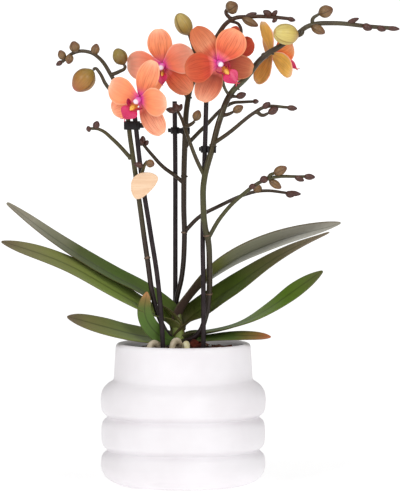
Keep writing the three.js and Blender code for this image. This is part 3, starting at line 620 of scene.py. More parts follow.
def bark_chip(seed, material):
    """One broken chip of bark, flat and angular, lying at the origin."""
    chip = begun(bpy.ops.mesh.primitive_cube_add, size=1)
    edit(chip)
    bpy.ops.mesh.subdivide(number_cuts=1)
    bpy.ops.transform.vertex_random(offset=0.16, seed=seed)
    bpy.ops.mesh.bevel(offset=0.05, segments=1)
    close_edit()
    dress(chip, material)
    return chip


def scattered(pattern, count, chance, sizes, reach, height):
    """Copies of a small shape, laid at random over the bark."""
    copies = []
    for _ in range(count):
        copy = pattern.copy()
        copy.data = pattern.data.copy()
        bpy.context.collection.objects.link(copy)
        turn = 2 * math.pi * chance.random()
        away = reach * math.sqrt(chance.random())
        size = [chance.uniform(low, high) for low, high in sizes]
        middle = (away * math.cos(turn), away * math.sin(turn), height - HEAP_SLOPE * away)
        lean = Matrix.Rotation(chance.uniform(-MOST_LEAN, MOST_LEAN), 4, "X")
        lean = lean @ Matrix.Rotation(chance.uniform(-MOST_LEAN, MOST_LEAN), 4, "Y")
        spin = Matrix.Rotation(2 * math.pi * chance.random(), 4, "Z")
        put(copy, Matrix.Translation(middle) @ spin @ lean @ Matrix.Diagonal((*size, 1)))
        copies.append(copy)
    bpy.data.objects.remove(pattern)
    return joined(copies)


def make_bark():
    chance = random.Random(11)
    foot = GROWER_FOOT + GROWER_WALL + BARK_CLEARANCE
    edge = GROWER_TOP_RADIUS - GROWER_WALL - 1
    profile = [(0, foot), (GROWER_FOOT_RADIUS - 1.6, foot), (edge, BARK_TOP - 3), (12, BARK_TOP),
               (0, BARK_TOP)]
    fill = spun(profile, 48, pine_bark("packed_bark", "#24150f", "#4a2b20"))
    settle(fill, "bark_fill", "bark", "bark")
    heaps = []
    for i, (dark, light) in enumerate(CHIP_BROWNS):
        chip = bark_chip(i, pine_bark(f"bark_chip_{i}", dark, light))
        count = CHIP_COUNT // len(CHIP_BROWNS)
        heaps.append(scattered(chip, count, chance, CHIP_SIZES, 38, BARK_TOP + 3))
    for i, (place, size, lean) in enumerate(CHIPS_BY_THE_CROWN):
        chip = bark_chip(20 + i, pine_bark(f"crown_chip_{i}", "#2a0e0a", "#743222"))
        turn = Matrix.Rotation(lean, 4, "Y")
        put(chip, Matrix.Translation(place) @ turn @ Matrix.Diagonal((*size, 1)))
        heaps.append(chip)
    settle(joined(heaps), "bark_chips", "bark", "bark", angle=30)
    stone = bark_chip(5, root_skin("perlite", "#f4f2ee", "#d9d4cc"))
    grains = scattered(stone, PERLITE_COUNT, chance, PERLITE_SIZES, 34, BARK_TOP + 6)
    settle(grains, "perlite_grains", "bark", "bark")


# The plant's foot: roots and crown

ROOTS = [[[-4, -2, 104], [-3.5, -11, 111], [-4, -17, 119], [-7, -22, 119.5], [-10, -28, 111]],
         [[-2, -2, 104], [0.5, -12, 110], [2.5, -20, 117.5], [3.5, -29, 112]],
         [[-6, -2, 104], [-11, -9, 109], [-19, -17.5, 115.5], [-25, -22, 118], [-29, -27, 109]],
         [[-2, 0, 103], [4, 9, 109], [12, 17, 115.5], [20, 22, 109]],
         [[-6, 2, 102], [-16, 6, 88], [-20, -4, 66], [-12, -8, 40]],
         [[-2, 2, 102], [10, 4, 88], [16, 14, 64], [12, 18, 36]]]
CREAM_ROOT = 1
ROOT_RADII = [3, 3.1, 2.9, 2.7, 2.2]
ROOT_NECK = [[-4, 0, 94], [-4, 0, 104], [-4, 0, 113]]
ROOT_NECK_RADII = [7.5, 7.7, 7.5]
CROWN = [[-4, 0, 111], [-4, 0, 124], [-4.5, 0.5, 134], [-4, 1.5, 141]]
CROWN_RADII = [6, 5.4, 4.4, 2.6]
CROWN_GREENS = [(0, "#93a05a"), (0.5, "#88964e"), (0.8, "#6e7640"), (1, "#5a4a38")]


def make_roots():
    grey = root_skin("grey_root_skin", "#cdc0aa", "#a3977a")
    cream = root_skin("cream_root_skin", "#ebe6c4", "#c8bd8c")
    parts = [tube(ROOT_NECK, ROOT_NECK_RADII, grey, 4, 5)]
    for i, points in enumerate(ROOTS):
        skin = cream if i == CREAM_ROOT else grey
        parts.append(tube(points, ROOT_RADII, skin, 4, 8))
    settle(joined(parts), "air_roots", "root", "roots")


def make_crown():
    core = tube(CROWN, CROWN_RADII, stem_skin("crown_skin", CROWN_GREENS, 112, 145), 6, 8)
    settle(core, "crown_stem", "crown", "crown")


# Leaves. rib runs from inside the stem to the tip; roll tips the far edge up and fold lifts both
# edges off the keel, in degrees, at even spaces along the rib. STRAP and BLUNT are their outlines.

LEAF_THICKNESS = 1.3
SHEATH_FOLD = 50
SHEATH_SHARE = 0.16
STRAP = [0.5, 0.62, 0.74, 0.84, 0.92, 0.97, 0.99, 1, 1, 0.99, 0.97, 0.94, 0.9, 0.84, 0.77, 0.68,
         0.55, 0.37, 0.16]
BLUNT = [0.5, 0.62, 0.74, 0.84, 0.92, 0.97, 0.99, 1, 1, 1, 0.99, 0.97, 0.94, 0.89, 0.83, 0.75, 0.63,
         0.44, 0.08]
LEAVES = {
    "leaf_a": {
        "rib": [[-5, 2, 124], [-9.5, 2.3, 138], [-27, 5, 154], [-60, 8, 172], [-104.5, 12, 200],
                [-145.5, 15, 231]],
        "side": -1, "half": 17, "roll": [8, 14, 14, 14, 16], "fold": [26, 14, 10, 8, 8],
        # the pale grey-brown stops towards leaf A's tip are painted sheen, a highlight laid into
        # its colour
        "top": [(0, "#5c4a36"), (0.12, "#4e6020"), (0.4, "#46600c"), (0.6, "#4e5824"),
                (0.85, "#989480"), (1, "#948c78")],
        "under": [(0, "#8a8a50"), (0.2, "#5a5a34"), (1, "#6a6a50")],
    },
    "leaf_b": {
        "rib": [[-5, 1, 120], [-11, 0, 131.5], [-27, -4, 141.5], [-56, -8.5, 159],
                [-97.5, -12, 182.5], [-149, -14, 201]],
        "side": -1, "half": 17.5, "roll": [10, 23, 22, 20, 24], "fold": [26, 12, 8, 6, 6],
        "shape": BLUNT,
        "top": [(0, "#6a5a3c"), (0.12, "#869844"), (0.4, "#829648"), (0.65, "#7e8646"),
                (0.9, "#7e7a52"), (1, "#6a5a44")],
        "under": [(0, "#8a9050"), (0.2, "#5e6430"), (1, "#6a6c44")],
    },
    "leaf_c": {
        "rib": [[-5, 1, 113.5], [-10, 1, 118], [-19, 1, 119.5], [-32, -4, 121.5], [-61.5, -16, 130],
                [-95, -24, 140]],
        "side": -1, "half": 15, "roll": [8, 24, 28, 30, 30], "fold": [24, 12, 6, 4, 4],
        "shape": BLUNT,
        "top": [(0, "#6e7a3a"), (0.5, "#7a8846"), (0.8, "#7c7a4a"), (1, "#72634f")],
        "under": [(0, "#5a4a34"), (0.2, "#5c5c34"), (1, "#6a5c48")],
    },
    "leaf_d": {
        "rib": [[-6, -5.5, 117.5], [-12, -12, 119.5], [-20, -17, 124.5], [-31, -20, 141],
                [-29.5, -20, 160.5]],
        "side": -1, "half": 7, "roll": [-60, -5, 5, 5], "fold": [14, 12, 10, 6],
        "up": (0, -1, 0.15), "shape": BLUNT,
        "top": [(0, "#4b6428"), (0.62, "#536e2c"), (0.78, "#58682e"), (0.88, "#7c6a38"),
                (0.95, "#a87a4c"), (1, "#b8743c")],
        "under": [(0, "#5b6b31"), (0.75, "#5b6b31"), (1, "#a5683a")],
    },
    "leaf_e": {
        "rib": [[-4, 2, 126], [-1, 2.6, 140], [6.5, 4, 153], [30, 8, 176.5], [68, 12, 196.5],
                [130, 16, 214.5]],
        "side": 1, "half": 16.5, "roll": [-6, -26, -32, -32, -30], "fold": [26, 12, 8, 6, 6],
        "shape": BLUNT,
        # the grey stops on the outer half of leaf E, on both faces, are painted sheen and painted
        # reflection
        "top": [(0, "#3f4a22"), (0.4, "#5a6a2e"), (0.8, "#84846c"), (1, "#8a8474")],
        "under": [(0, "#4a3836"), (0.22, "#54443a"), (0.36, "#6a6e38"), (0.5, "#84846c"),
                  (0.8, "#9c9a8e"), (1, "#8a8474")],
    },
    "leaf_f": {
        "rib": [[-4, 1, 119], [2.5, 2.5, 132.5], [15.5, 5, 143], [41.5, 5, 161.5], [83.5, 4, 190],
                [120.5, 4, 207.5]],
        "side": 1, "half": 17.5, "roll": [18, 30, 22, 12, 2], "fold": [26, 12, 8, 6, 6],
        "top": [(0, "#54482c"), (0.2, "#46521f"), (0.45, "#4a5c20"), (0.68, "#66623c"),
                (0.88, "#8a7c64"), (1, "#8a7c68")],
        "under": [(0, "#6a6436"), (0.2, "#54482e"), (0.5, "#4a4a28"), (1, "#7b7057")],
    },
    "leaf_g": {
        "rib": [[-4, 1, 114], [4, 0.6, 121], [18, 0, 124], [46, -6, 132], [70, -10, 145],
                [92, -13, 161], [114.5, -14, 177]],
        "side": 1, "half": 12, "roll": [4, 0, 10, 42, 40], "fold": [24, 8, 4, 4, 4], "shape": BLUNT,
        # the lighter green in the middle of leaf G's upper face and the grey in the middle of its
        # underside are painted sheen
        "top": [(0, "#454a1a"), (0.3, "#5a7426"), (0.55, "#6c8436"), (0.75, "#54701f"),
                (1, "#5b5d37")],
        "under": [(0, "#5a5a34"), (0.5, "#8b8b78"), (1, "#7c7a62")],
    },
    "leaf_h": {
        "rib": [[-4, -1, 113.5], [4, -2.6, 117.8], [18, -5, 120], [46.5, -11, 123], [72, -18, 123]],
        "side": 1, "half": 9, "roll": [6, 14, 22, 26], "fold": [20, 8, 6, 6], "shape": BLUNT,
        "top": [(0, "#4a5e24"), (0.6, "#546a2a"), (0.84, "#8a6a34"), (1, "#b5683c")],
        "under": [(0, "#505b29"), (0.75, "#5b5b2c"), (1, "#a5683a")],
    },
}


def make_leaf(name, leaf):
    shape = leaf.get("shape", STRAP)
    rows = len(shape) - 1
    halves, rises = [], []
    for i, share in enumerate(shape):
        clasp = SHEATH_FOLD * max(0, 1 - i / rows / SHEATH_SHARE)
        fold = math.radians(between(leaf["fold"], i / rows) + clasp)
        halves.append(leaf["half"] * share * math.cos(fold))
        rises.append(leaf["half"] * share * math.sin(fold))
    skins = [leaf_skin(f"{name}_upper_skin", leaf["top"]),
             leaf_skin(f"{name}_under_skin", leaf["under"])]
    up = Vector(leaf.get("up", (0, 0, 1)))
    tilts = [leaf["side"] * roll for roll in leaf["roll"]]
    blade = strap(leaf["rib"], up, halves, rises, skins, LEAF_THICKNESS, tilts, sharp=1.25,
                  columns=6)
    settle(blade, f"{name}_blade", "leaf", name)


# Spikes, each with its side branches and small buds. Places as in the frame, in millimetres.

BRANCH_RADII = [1.75, 1.65, 1.5, 1.2]
STALK_RADII = [1.3, 1.3, 1.5]
BUD_SWELL = 1.08
TAN_BUD_WIDTH = 6.2
DRY_HEIGHT = 230
SPIKE_SPAN = (120, 385)
SPIKES = {
    "spike_left": {
        "main": [[-6, -2, 118], [-12, -9, 124], [-16.5, -11.5, 131.5], [-23, -12.5, 149],
                 [-29.5, -13.5, 188.5], [-36, -14, 235], [-43, -13.5, 284], [-47.5, -11, 312.5],
                 [-59, -8, 337], [-69.5, -5, 351.5], [-79, -2, 356], [-89, 0, 355],
                 [-99, 2, 347.5]],
        "radii": [2, 2.1, 2.2, 2.2, 2.1, 2, 1.8, 1.6, 1.4],
        "branches": [
            [[-43, -13, 269.5], [-57, -17, 284.5], [-68, -20, 293], [-76.5, -22, 294]],
            [[-37.5, -14, 246], [-36.5, -18.5, 251], [-33.5, -20, 258], [-31.5, -26, 264],
             [-29.5, -33, 267.5]],
            [[-50, -10.5, 317], [-62, -12, 328], [-69, -9, 340], [-72.1, -7.1, 342.4],
             [-73.5, -7, 341]],
            [[-59, -8, 337], [-52, -11.5, 340], [-47.4, -12.6, 343.2], [-48, -12, 345.5]],
        ],
        "buds": [[[-87.5, -1, 355], [-90, -2, 364.5], 8.5], [[-73, -3, 353], [-70.5, -4, 362.5], 7],
                 [[-97.5, 1, 349], [-101, 1, 357], 6.5], [[-92, 0, 353.7], [-94, -5, 346], 6.5],
                 [[-98.5, 2, 348], [-104, 3, 344.5], 4],
                 [[-72, -20.5, 293.5], [-69.5, -23, 300], 5.5],
                 [[-75, -22, 294], [-79, -22, 293], 5], [[-32, -27, 263.5], [-40, -28, 265.5], 4.5],
                 [[-29.8, -32, 267], [-23.5, -36, 265], 6.5]],
        "nodes": [187.5, 306],
        "skin": [(0, "#22161a"), (0.28, "#352822"), (0.5, "#4a4426"), (0.75, "#40361f"),
                 (1, "#4c3c2c")],
    },
    "spike_middle": {
        "main": [[-4, 3, 122], [-5, 10, 129], [-6, 13, 136], [-6, 14, 147], [-1, 12, 171.5],
                 [1, 10, 200.5], [0.5, 9, 230.5], [1.5, 9, 282], [3.5, 10, 313.5], [7, 13, 328],
                 [18, 18, 348.5], [27, 17, 366.5], [39.5, 14, 381.5], [55, 12, 384], [71, 9, 384],
                 [87.5, 6, 382.5]],
        "radii": [2.1, 2.1, 2.2, 2.3, 2.4, 2.3, 2, 1.8, 1.5],
        "branches": [
            [[39, 14, 382], [35, 13, 388], [37, 13, 391]],
            [[13, 17, 341], [9, 11, 356.5], [5, 5, 369]],
            [[0.5, 8.5, 247.5], [-6, 12, 253], [-16.5, 8, 261], [-25.5, 4, 271], [-34.5, -1, 282]],
            [[1.5, 9, 208], [14, 6, 220.5], [27.5, 4, 228], [55, 0, 240], [68, -3, 242],
             [84, -6, 240.5]],
            [[2, 9, 278], [17.5, 6, 294], [39, 4, 313], [50, 2, 314.5], [59, 0, 315]],
        ],
        "buds": [[[35.2, 13, 388.8], [44.6, 12, 394.4], 11], [[48, 11, 383], [61.5, 8, 376.5], 6.5],
                 [[50.5, 13, 384], [60.5, 13, 387], 4], [[73, 9, 384.5], [65.5, 8, 389], 5.5],
                 [[73, 8, 384.5], [77, 7, 389.5], 4], [[77, 8.5, 383], [73, 7, 379.5], 3.5],
                 [[85, 6.5, 383], [92, 5.5, 381], 4], [[-32, 0, 279.5], [-38, -2, 283.5], 5],
                 [[-33, 0, 280.5], [-33, -2, 287], 4.5], [[-32, 1, 279], [-28.5, -1, 283], 4],
                 [[83.5, -6, 240.5], [91, -7, 238], 5.5], [[84, -6, 240.5], [96.5, -8, 239.5], 4.5],
                 [[64.5, -2, 241.5], [57, -2, 246], 7], [[56.5, 1, 315], [62, 0, 315], 4]],
        "nodes": [207, 253, 318, 356],
        "skin": [(0, "#1e1416"), (0.3, "#30221a"), (0.5, "#382a1a"), (0.7, "#3c3220"),
                 (1, "#462e20")],
    },
    "spike_right": {
        "main": [[-2, -3, 117.5], [6, -9, 120.5], [13, -12, 126], [18, -13.5, 138],
                 [21, -14, 154.5], [21.5, -14.5, 179.5], [20.5, -19, 202.5], [18, -21, 213],
                 [16.5, -22, 231.5], [17, -22, 250.5], [23.5, -19, 276.5], [31, -15, 304],
                 [39, -12, 322], [51.5, -11, 335], [65, -14, 351.5], [79.5, -13, 361],
                 [91.5, -8, 369], [103, -2, 377], [121.5, 3, 379], [154.5, 6, 376],
                 [174.5, 7, 374.5]],
        "radii": [2.2, 2.3, 2.4, 2.5, 2.5, 2.5, 2.4, 2.1, 1.9, 1.7],
        "branches": [
            [[97, -5, 372.5], [97.4, -10, 371.5], [96, -14.5, 370], [94, -17, 369]],
            [[106, 0.5, 377.5], [106, 0, 382.5], [111, -1, 386.5]],
            [[20.5, -19.5, 204], [31, -25, 222], [47.5, -29, 239.5], [69.5, -32, 253.5],
             [99, -35, 255.5]],
            [[69.5, -32, 253.5], [71, -33, 256.5], [74, -33, 258]],
            [[24.7, -18.3, 281.5], [35.5, -22, 289], [61, -27, 309], [67.5, -28, 312],
             [85.5, -30, 311.5]],
            [[60, -27, 308], [64.5, -28, 305], [69, -29, 306.5]],
            [[17.5, -21, 255], [10.5, -20, 269.5], [2, -14, 292.5], [-1.5, -11, 302],
             [-5, -9, 308.5]],
            [[1.5, -13.5, 295], [6.5, -13, 297], [9.5, -13, 299.5]],
            [[39, -12, 320], [43.5, -13, 319.5]],
            [[31.5, -15, 304], [37.5, -15, 305.5], [40.5, -16, 307]],
        ],
        "buds": [[[110.5, -1, 386.5], [122.5, -3, 391], 10],
                 [[104.5, -1.5, 377], [116, -4, 371], 7.5], [[134, 4.5, 379], [144, 5, 383], 4],
                 [[146.5, 4, 377.5], [154.5, 1, 374], 6], [[158, 6, 376], [166, 6, 373], 5],
                 [[166, 6.5, 375], [177.5, 7, 374], 4], [[73.5, -33, 257.5], [84.5, -34, 263], 7.5],
                 [[69, -32.5, 254], [62.5, -36, 252], 6],
                 [[59.5, -31.5, 247.5], [53.5, -33, 247], 4.5],
                 [[70, -31.5, 252.5], [80, -29, 245.5], 6.5],
                 [[90.5, -34, 255.5], [98.5, -36, 252], 4.5],
                 [[98, -35, 255.5], [107.5, -36, 255], 5],
                 [[64.5, -27.5, 310.5], [71, -29, 315.5], 5],
                 [[69, -29, 306.5], [77.5, -31, 311], 6], [[84, -30, 311.5], [93, -31, 310.5], 4.5],
                 [[-4, -9.5, 307], [-7.5, -11, 314], 6], [[-5, -9, 307.5], [-14, -9, 309], 5],
                 [[-4, -9, 307], [-1, -9, 313.5], 4], [[9.5, -13, 299.5], [13, -13, 308.5], 7],
                 [[43, -13, 319], [51.5, -15, 322], 5.5], [[40.5, -16, 307], [49, -17, 312], 6.5]],
        "nodes": [157.8, 206.6, 279.5, 327, 356],
        # painted sheen: the lighter olive stop at 0.79, about 330 mm up, stands for a highlight on
        # the stem
        "skin": [(0, "#281c1e"), (0.22, "#382e20"), (0.38, "#484828"), (0.6, "#40361f"),
                 (0.72, "#3a2a1a"), (0.79, "#56563c"), (0.86, "#38281c"), (1, "#4c442e")],
    },
}

BLOOMS = {
    "bloom_1": {
        "at": [-35, -36, 318.5], "facing": [-0.42, -0.88, -0.2], "roll": 16, "spike": "spike_left",
        "from": [[-46.5, -11, 309], [-43.5, -20, 315]],
        "sepals": [[7, 33, 20, 2, 20, "sepal"], [133, 33, 22, 8, 10, "streaked_sepal"],
                   [-128, 30, 20, 2, 15, "sepal"]],
        "petals": [[76, 27, 25, 22, 20], [-78, 27, 25, 16, 20]],
        "lip_turn": -17, "lip_size": (1.12, 0.78, 1.15),
    },
    "bloom_2": {
        "at": [-16.5, -6, 345], "facing": [-0.22, -0.95, -0.2], "roll": -7, "spike": "spike_middle",
        "from": [[4, 11, 316], [-5, 6, 334]],
        "sepals": [[0, 29, 22, 2, 15, "sepal"], [142, 31, 21, 8, 10, "shade_painted_warm_petal"],
                   [-135, 31, 20, 2, 15, "sepal"]],
        "petals": [[75, 28, 27, 10, 15, "light_painted_rosy_petal"], [-82, 29, 26, 8, 15, "light_painted_rosy_petal"]],
        "lip_size": (0.62, 0.7, 0.92),
    },
    "bloom_3": {
        "at": [29, -32, 348], "facing": [0.2, -0.95, -0.12], "roll": -24, "spike": "spike_right",
        "from": [[38, -12.5, 320], [34, -17, 326.5], [31, -22, 338]],
        "sepals": [[-12, 34, 21, 4, 20, "russet_sepal"], [126, 29, 21, 6, 12, "shade_painted_dusky_sepal"],
                   [-134, 34, 23, 4, 15, "flushed_sepal"]],
        "petals": [[53, 30, 27, 12, 18, "shade_painted_warm_petal"], [-76, 29, 26, 14, 10, "shade_painted_deep_petal"]],
        "lip_turn": 16,
    },
    # painted shade: every sepal and petal of this flower has a darkened skin
    "bloom_4": {
        "at": [40, 27, 352.5], "facing": [0.62, 0.72, -0.2], "roll": 0, "spike": "spike_middle",
        "from": [[38, 14.5, 380.5], [46, 18, 377], [46.5, 20, 366]],
        "sepals": [[14, 25, 17, 20, 10, "shade_painted_red_petal"], [140, 25, 18, 0, 10, "shade_painted_red_petal"],
                   [-140, 25, 18, 0, 10, "shade_painted_red_petal"]],
        "petals": [[76, 22, 22, 22, 10, "shade_painted_red_petal"], [-50, 20, 19, 22, 10, "shade_painted_red_petal"]],
    },
    "bloom_5": {
        "at": [73.5, 14, 354], "facing": [0.82, 0.55, 0.1], "roll": 0, "spike": "spike_right",
        "from": [[63, -14, 349], [66, -4, 350.5], [68.5, 5, 352]],
        "sepals": [[0, 27, 18, -8, 10, "pale_petal"], [144, 29, 20, -8, 10],
                   [-124, 28, 20, 10, 10, "pale_petal"]],
        "petals": [[60, 27, 24, 20, 10], [-72, 24, 23, 15, 10, "bright_petal"]],
        "lip_turn": -28, "lip_size": (0.8, 0.85, 1.25),
    },
}

HUB_BACK = 4
BRACT_THICKNESS = 0.22
BRACT_FLARE = 1.12
BRACT_POINT = (0.12, 0, 1.5)
BRACT_SHOULDERS = (0.04, 0, 0.7)
BRACT_HEIGHT = 0.28


def flower_matrix(bloom):
    """The flower's own axes in the frame: x to its right from in front, y up, z its facing."""
    z = Vector(bloom["facing"]).normalized()
    y = (UP - z * UP.dot(z)).normalized()
    y.rotate(Matrix.Rotation(-math.radians(bloom["roll"]), 3, z))
    turn = Matrix((y.cross(z), y, z)).transposed().to_4x4()
    return Matrix.Translation(bloom["at"]) @ turn


def flower_stalk(bloom, material):
    matrix = flower_matrix(bloom)
    end = matrix @ Vector((0, 0, -HUB_BACK + 0.5))
    before = matrix @ Vector((0, 0, -HUB_BACK - 6))
    return tube([*bloom["from"], before, end], STALK_RADII, material, 3, 6)


def at_height(points, height):
    """Where a route first passes a height, the way it runs there and how far along that is."""
    shares = shares_along(points)
    i = next(k for k in range(len(points) - 1) if points[k + 1][2] >= height)
    start, end = Vector(points[i]), Vector(points[i + 1])
    part = (height - start.z) / (end.z - start.z)
    return start.lerp(end, part), (end - start).normalized(), between(shares[i : i + 2], part)


def bract(place, way, radius, lean, skin):
    """The dry scale round a spike's node: a short collar that ends in a point to one side."""
    rod = bpy.ops.mesh.primitive_cylinder_add
    collar = begun(rod, vertices=16, radius=1, depth=2, end_fill_type="NOTHING")
    edit(collar)
    stretch(lambda co: co.z > 0, (BRACT_FLARE, BRACT_FLARE, 1), (0, 0, 1))
    shift(lambda co: co.z > 0 and co.x > 0.9, BRACT_POINT)
    shift(lambda co: 0 < co.z < 2 and 0.4 < co.x < 1.15, BRACT_SHOULDERS)
    close_edit()
    modify(collar, "SOLIDIFY", thickness=BRACT_THICKNESS, offset=1)
    smooth(collar, 1)
    turn = towards(way) @ Matrix.Rotation(lean, 4, "Z")
    size = Matrix.Diagonal((radius, radius, radius * BRACT_HEIGHT, 1))
    put(collar, Matrix.Translation(place) @ turn @ size)
    dress(collar, skin)
    return collar


def make_spike(name, spike, tan, purple, dry):
    skin = stem_skin(f"{name}_skin", spike["skin"], *SPIKE_SPAN)
    main, radii = spike["main"], spike["radii"]
    parts = [tube(main, radii, skin, 4, 8)]
    for i, height in enumerate(spike["nodes"]):
        place, way, share = at_height(main, height)
        scale = dry if height < DRY_HEIGHT else skin
        parts.append(bract(place, way, between(radii, share) * 1.03, i * math.pi * 0.9, scale))
    for points in spike["branches"]:
        parts.append(tube(points, BRANCH_RADII, skin, 3, 6))
        start, way = Vector(points[0]), (Vector(points[1]) - Vector(points[0])).normalized()
        parts.append(egg(start - way * 1.5, start + way * 2.5, 4.6, skin))
    for base, tip, width in spike["buds"]:
        skin_of_bud = tan if width > TAN_BUD_WIDTH else purple
        parts.append(egg(base, tip, width * BUD_SWELL, skin_of_bud, trefoil=0.08, point=0.85))
    stalks = [bloom for bloom in BLOOMS.values() if bloom["spike"] == name]
    parts += [flower_stalk(bloom, skin) for bloom in stalks]
    settle(joined(parts), f"{name}_stem", "stem", name)


LARGE_BUDS = {
    "bud_olive_left": {
        "base": [-48, -12, 345.5], "tip": [-55, -9, 358.5], "width": 12.5,
        "skin": [(0, "#6a4a26"), (0.35, "#7e6029"), (0.7, "#94803c"), (1, "#8a6a34")],
        "stripe": "#54401e", "point": 0.9,
    },
    "bud_gold_left": {
        "base": [-73.5, -7, 341], "tip": [-89, -6, 324.5], "width": 19,
        "skin": [(0, "#8a7a34"), (0.5, "#a47430"), (0.78, "#a4602c"), (0.9, "#a03424"),
                 (1, "#b03a2c")],
        "stripe": "#6f4a26", "point": 0.9,
    },
    "bud_olive_top": {
        "base": [5, 5, 369], "tip": [-4.5, 2.5, 387], "width": 14.5,
        "skin": [(0, "#86602e"), (0.5, "#b0944c"), (0.85, "#bca45c"), (1, "#9a7438")],
        "stripe": "#5e4a24", "point": 0.95,
    },
    "bud_gold_right": {
        "base": [94, -17, 369], "tip": [74, -26, 372.5], "width": 18,
        "skin": [(0, "#743f22"), (0.18, "#a0763a"), (0.45, "#cdb660"), (0.88, "#dac878"),
                 (1, "#c09050")],
        "stripe": "#94702e", "point": 1.04,
    },
}


def make_large_bud(name, shape):
    skin = bud_skin(f"{name}_skin", shape["skin"], shape["stripe"])
    bud = egg(shape["base"], shape["tip"], shape["width"], skin, trefoil=0.05,
              point=shape["point"])
    settle(bud, f"{name}_closed", "bud", name)


# Canes, clips and the tag

CANE_RADIUS = 2
CANES = {
    "left": [[-14, -20, 40], [-16.5, -23, 117], [-20.5, -19, 168], [-27, -16, 210.5],
             [-33.5, -13.5, 251.5], [-39.5, -12.5, 303.5]],
    "middle": [[-6, 22, 40], [-6.5, 20, 134], [-6.5, 18, 200], [-6.5, 16, 261], [-7, 14, 314.5]],
    "right": [[14, -20, 40], [16.5, -23, 117], [16.5, -20, 168.5], [16, -15.5, 202.5],
              [17, -14, 250], [18.5, -12, 299.5], [19, -11, 321]],
}
CLIPS = {
    "clip_left": {"cane": "left", "height": 296, "tall": 7, "closed": True},
    "clip_middle": {"cane": "middle", "height": 290.5, "tall": 5.5, "closed": False},
    "clip_right": {"cane": "right", "height": 276.5, "tall": 5.5, "closed": False},
}
CLIP_RADIUS = 3.6
CLIP_BORE = 2.1
JAW_BORE = 2.5
CLIP_OVERLAP = 0.8
ARM_WIDTH = 2.4
CHEEK_WIDTH = 1.3
WING = (3.6, 1.8)
EDGE_ROUNDING = 0.45


def make_canes(plastic):
    for side, points in CANES.items():
        rod = tube(points, [CANE_RADIUS] * 3, plastic, 5, 8)
        settle(rod, f"cane_{side}_rod", "black_plastic", f"cane_{side}", angle=40)


def ring_band(centre, inner, tall, material, gap_turn=None):
    """A short tube with rounded edges. gap_turn is where its open side faces, in radians."""
    rod = bpy.ops.mesh.primitive_cylinder_add
    ring = begun(rod, vertices=32, radius=CLIP_RADIUS, depth=tall, end_fill_type="NOTHING")
    if gap_turn is not None:
        edit(ring)
        pick(lambda co: math.cos(math.atan2(co.y, co.x) - gap_turn) > 0.72)
        bpy.ops.mesh.delete(type="VERT")
        close_edit()
    modify(ring, "SOLIDIFY", thickness=CLIP_RADIUS - inner, offset=-1)
    modify(ring, "BEVEL", width=EDGE_ROUNDING, segments=3, limit_method="ANGLE")
    put(ring, Matrix.Translation(centre))
    dress(ring, material)
    return ring


def rounded_block(centre, size, turn, material):
    block = begun(bpy.ops.mesh.primitive_cube_add, size=1)
    put(block, Matrix.Diagonal((*size, 1)))
    modify(block, "BEVEL", width=EDGE_ROUNDING, segments=3)
    put(block, Matrix.Translation(centre) @ Matrix.Rotation(turn, 4, "Z"))
    dress(block, material)
    return block


def make_clip(name, clip, material):
    """A ring that grips the cane, an arm, and a jaw round the spike, open in front or closed."""
    hold = at_height(CANES[clip["cane"]], clip["height"])[0]
    held = at_height(SPIKES[f"spike_{clip['cane']}"]["main"], clip["height"])[0]
    middle, tall = (held + hold) / 2, clip["tall"]
    way = (held - hold).normalized()
    turn = math.atan2(way.y, way.x)
    parts = [ring_band(hold, CLIP_BORE, tall, material)]
    jaw_gap = None if clip["closed"] else -math.pi / 2
    parts.append(ring_band(held, JAW_BORE, tall, material, jaw_gap))
    reach = (held - hold).length
    if reach > 2 * CLIP_RADIUS:
        arm = (reach - 2 * CLIP_RADIUS + 2 * CLIP_OVERLAP, ARM_WIDTH, 0.8 * tall)
        parts.append(rounded_block(middle, arm, turn, material))
    elif clip["closed"]:
        for side in (-1, 1):
            place = middle + side * (CLIP_RADIUS - CLIP_OVERLAP) * way.cross(UP)
            cheek = (reach, CHEEK_WIDTH, 0.9 * tall)
            parts.append(rounded_block(place, cheek, turn, material))
    wing_place = hold - way * (CLIP_RADIUS + 1.2)
    parts.append(rounded_block(wing_place, (*WING, 0.6 * tall), turn, material))
    settle(joined(parts), f"{name}_band", "black_plastic", name, angle=40)


TAG_AT = (-31.5, 247.5)
TAG_FRONT = -23.5
TAG_THICKNESS = 2
TAG_ROUNDING = 0.2
TAG_FOOT_WIDTH = 4
TAG_FOOT_TALL = 5.5
TAG_OUTLINE = [(-11, -2), (-9.8, 5), (-5, 9.4), (1.5, 10.7), (7.6, 9.5), (11, 6.4), (9.6, 1.4),
               (5, -4.4), (0.6, -8.4), (-4, -11), (-7.6, -10.6), (-10, -7)]


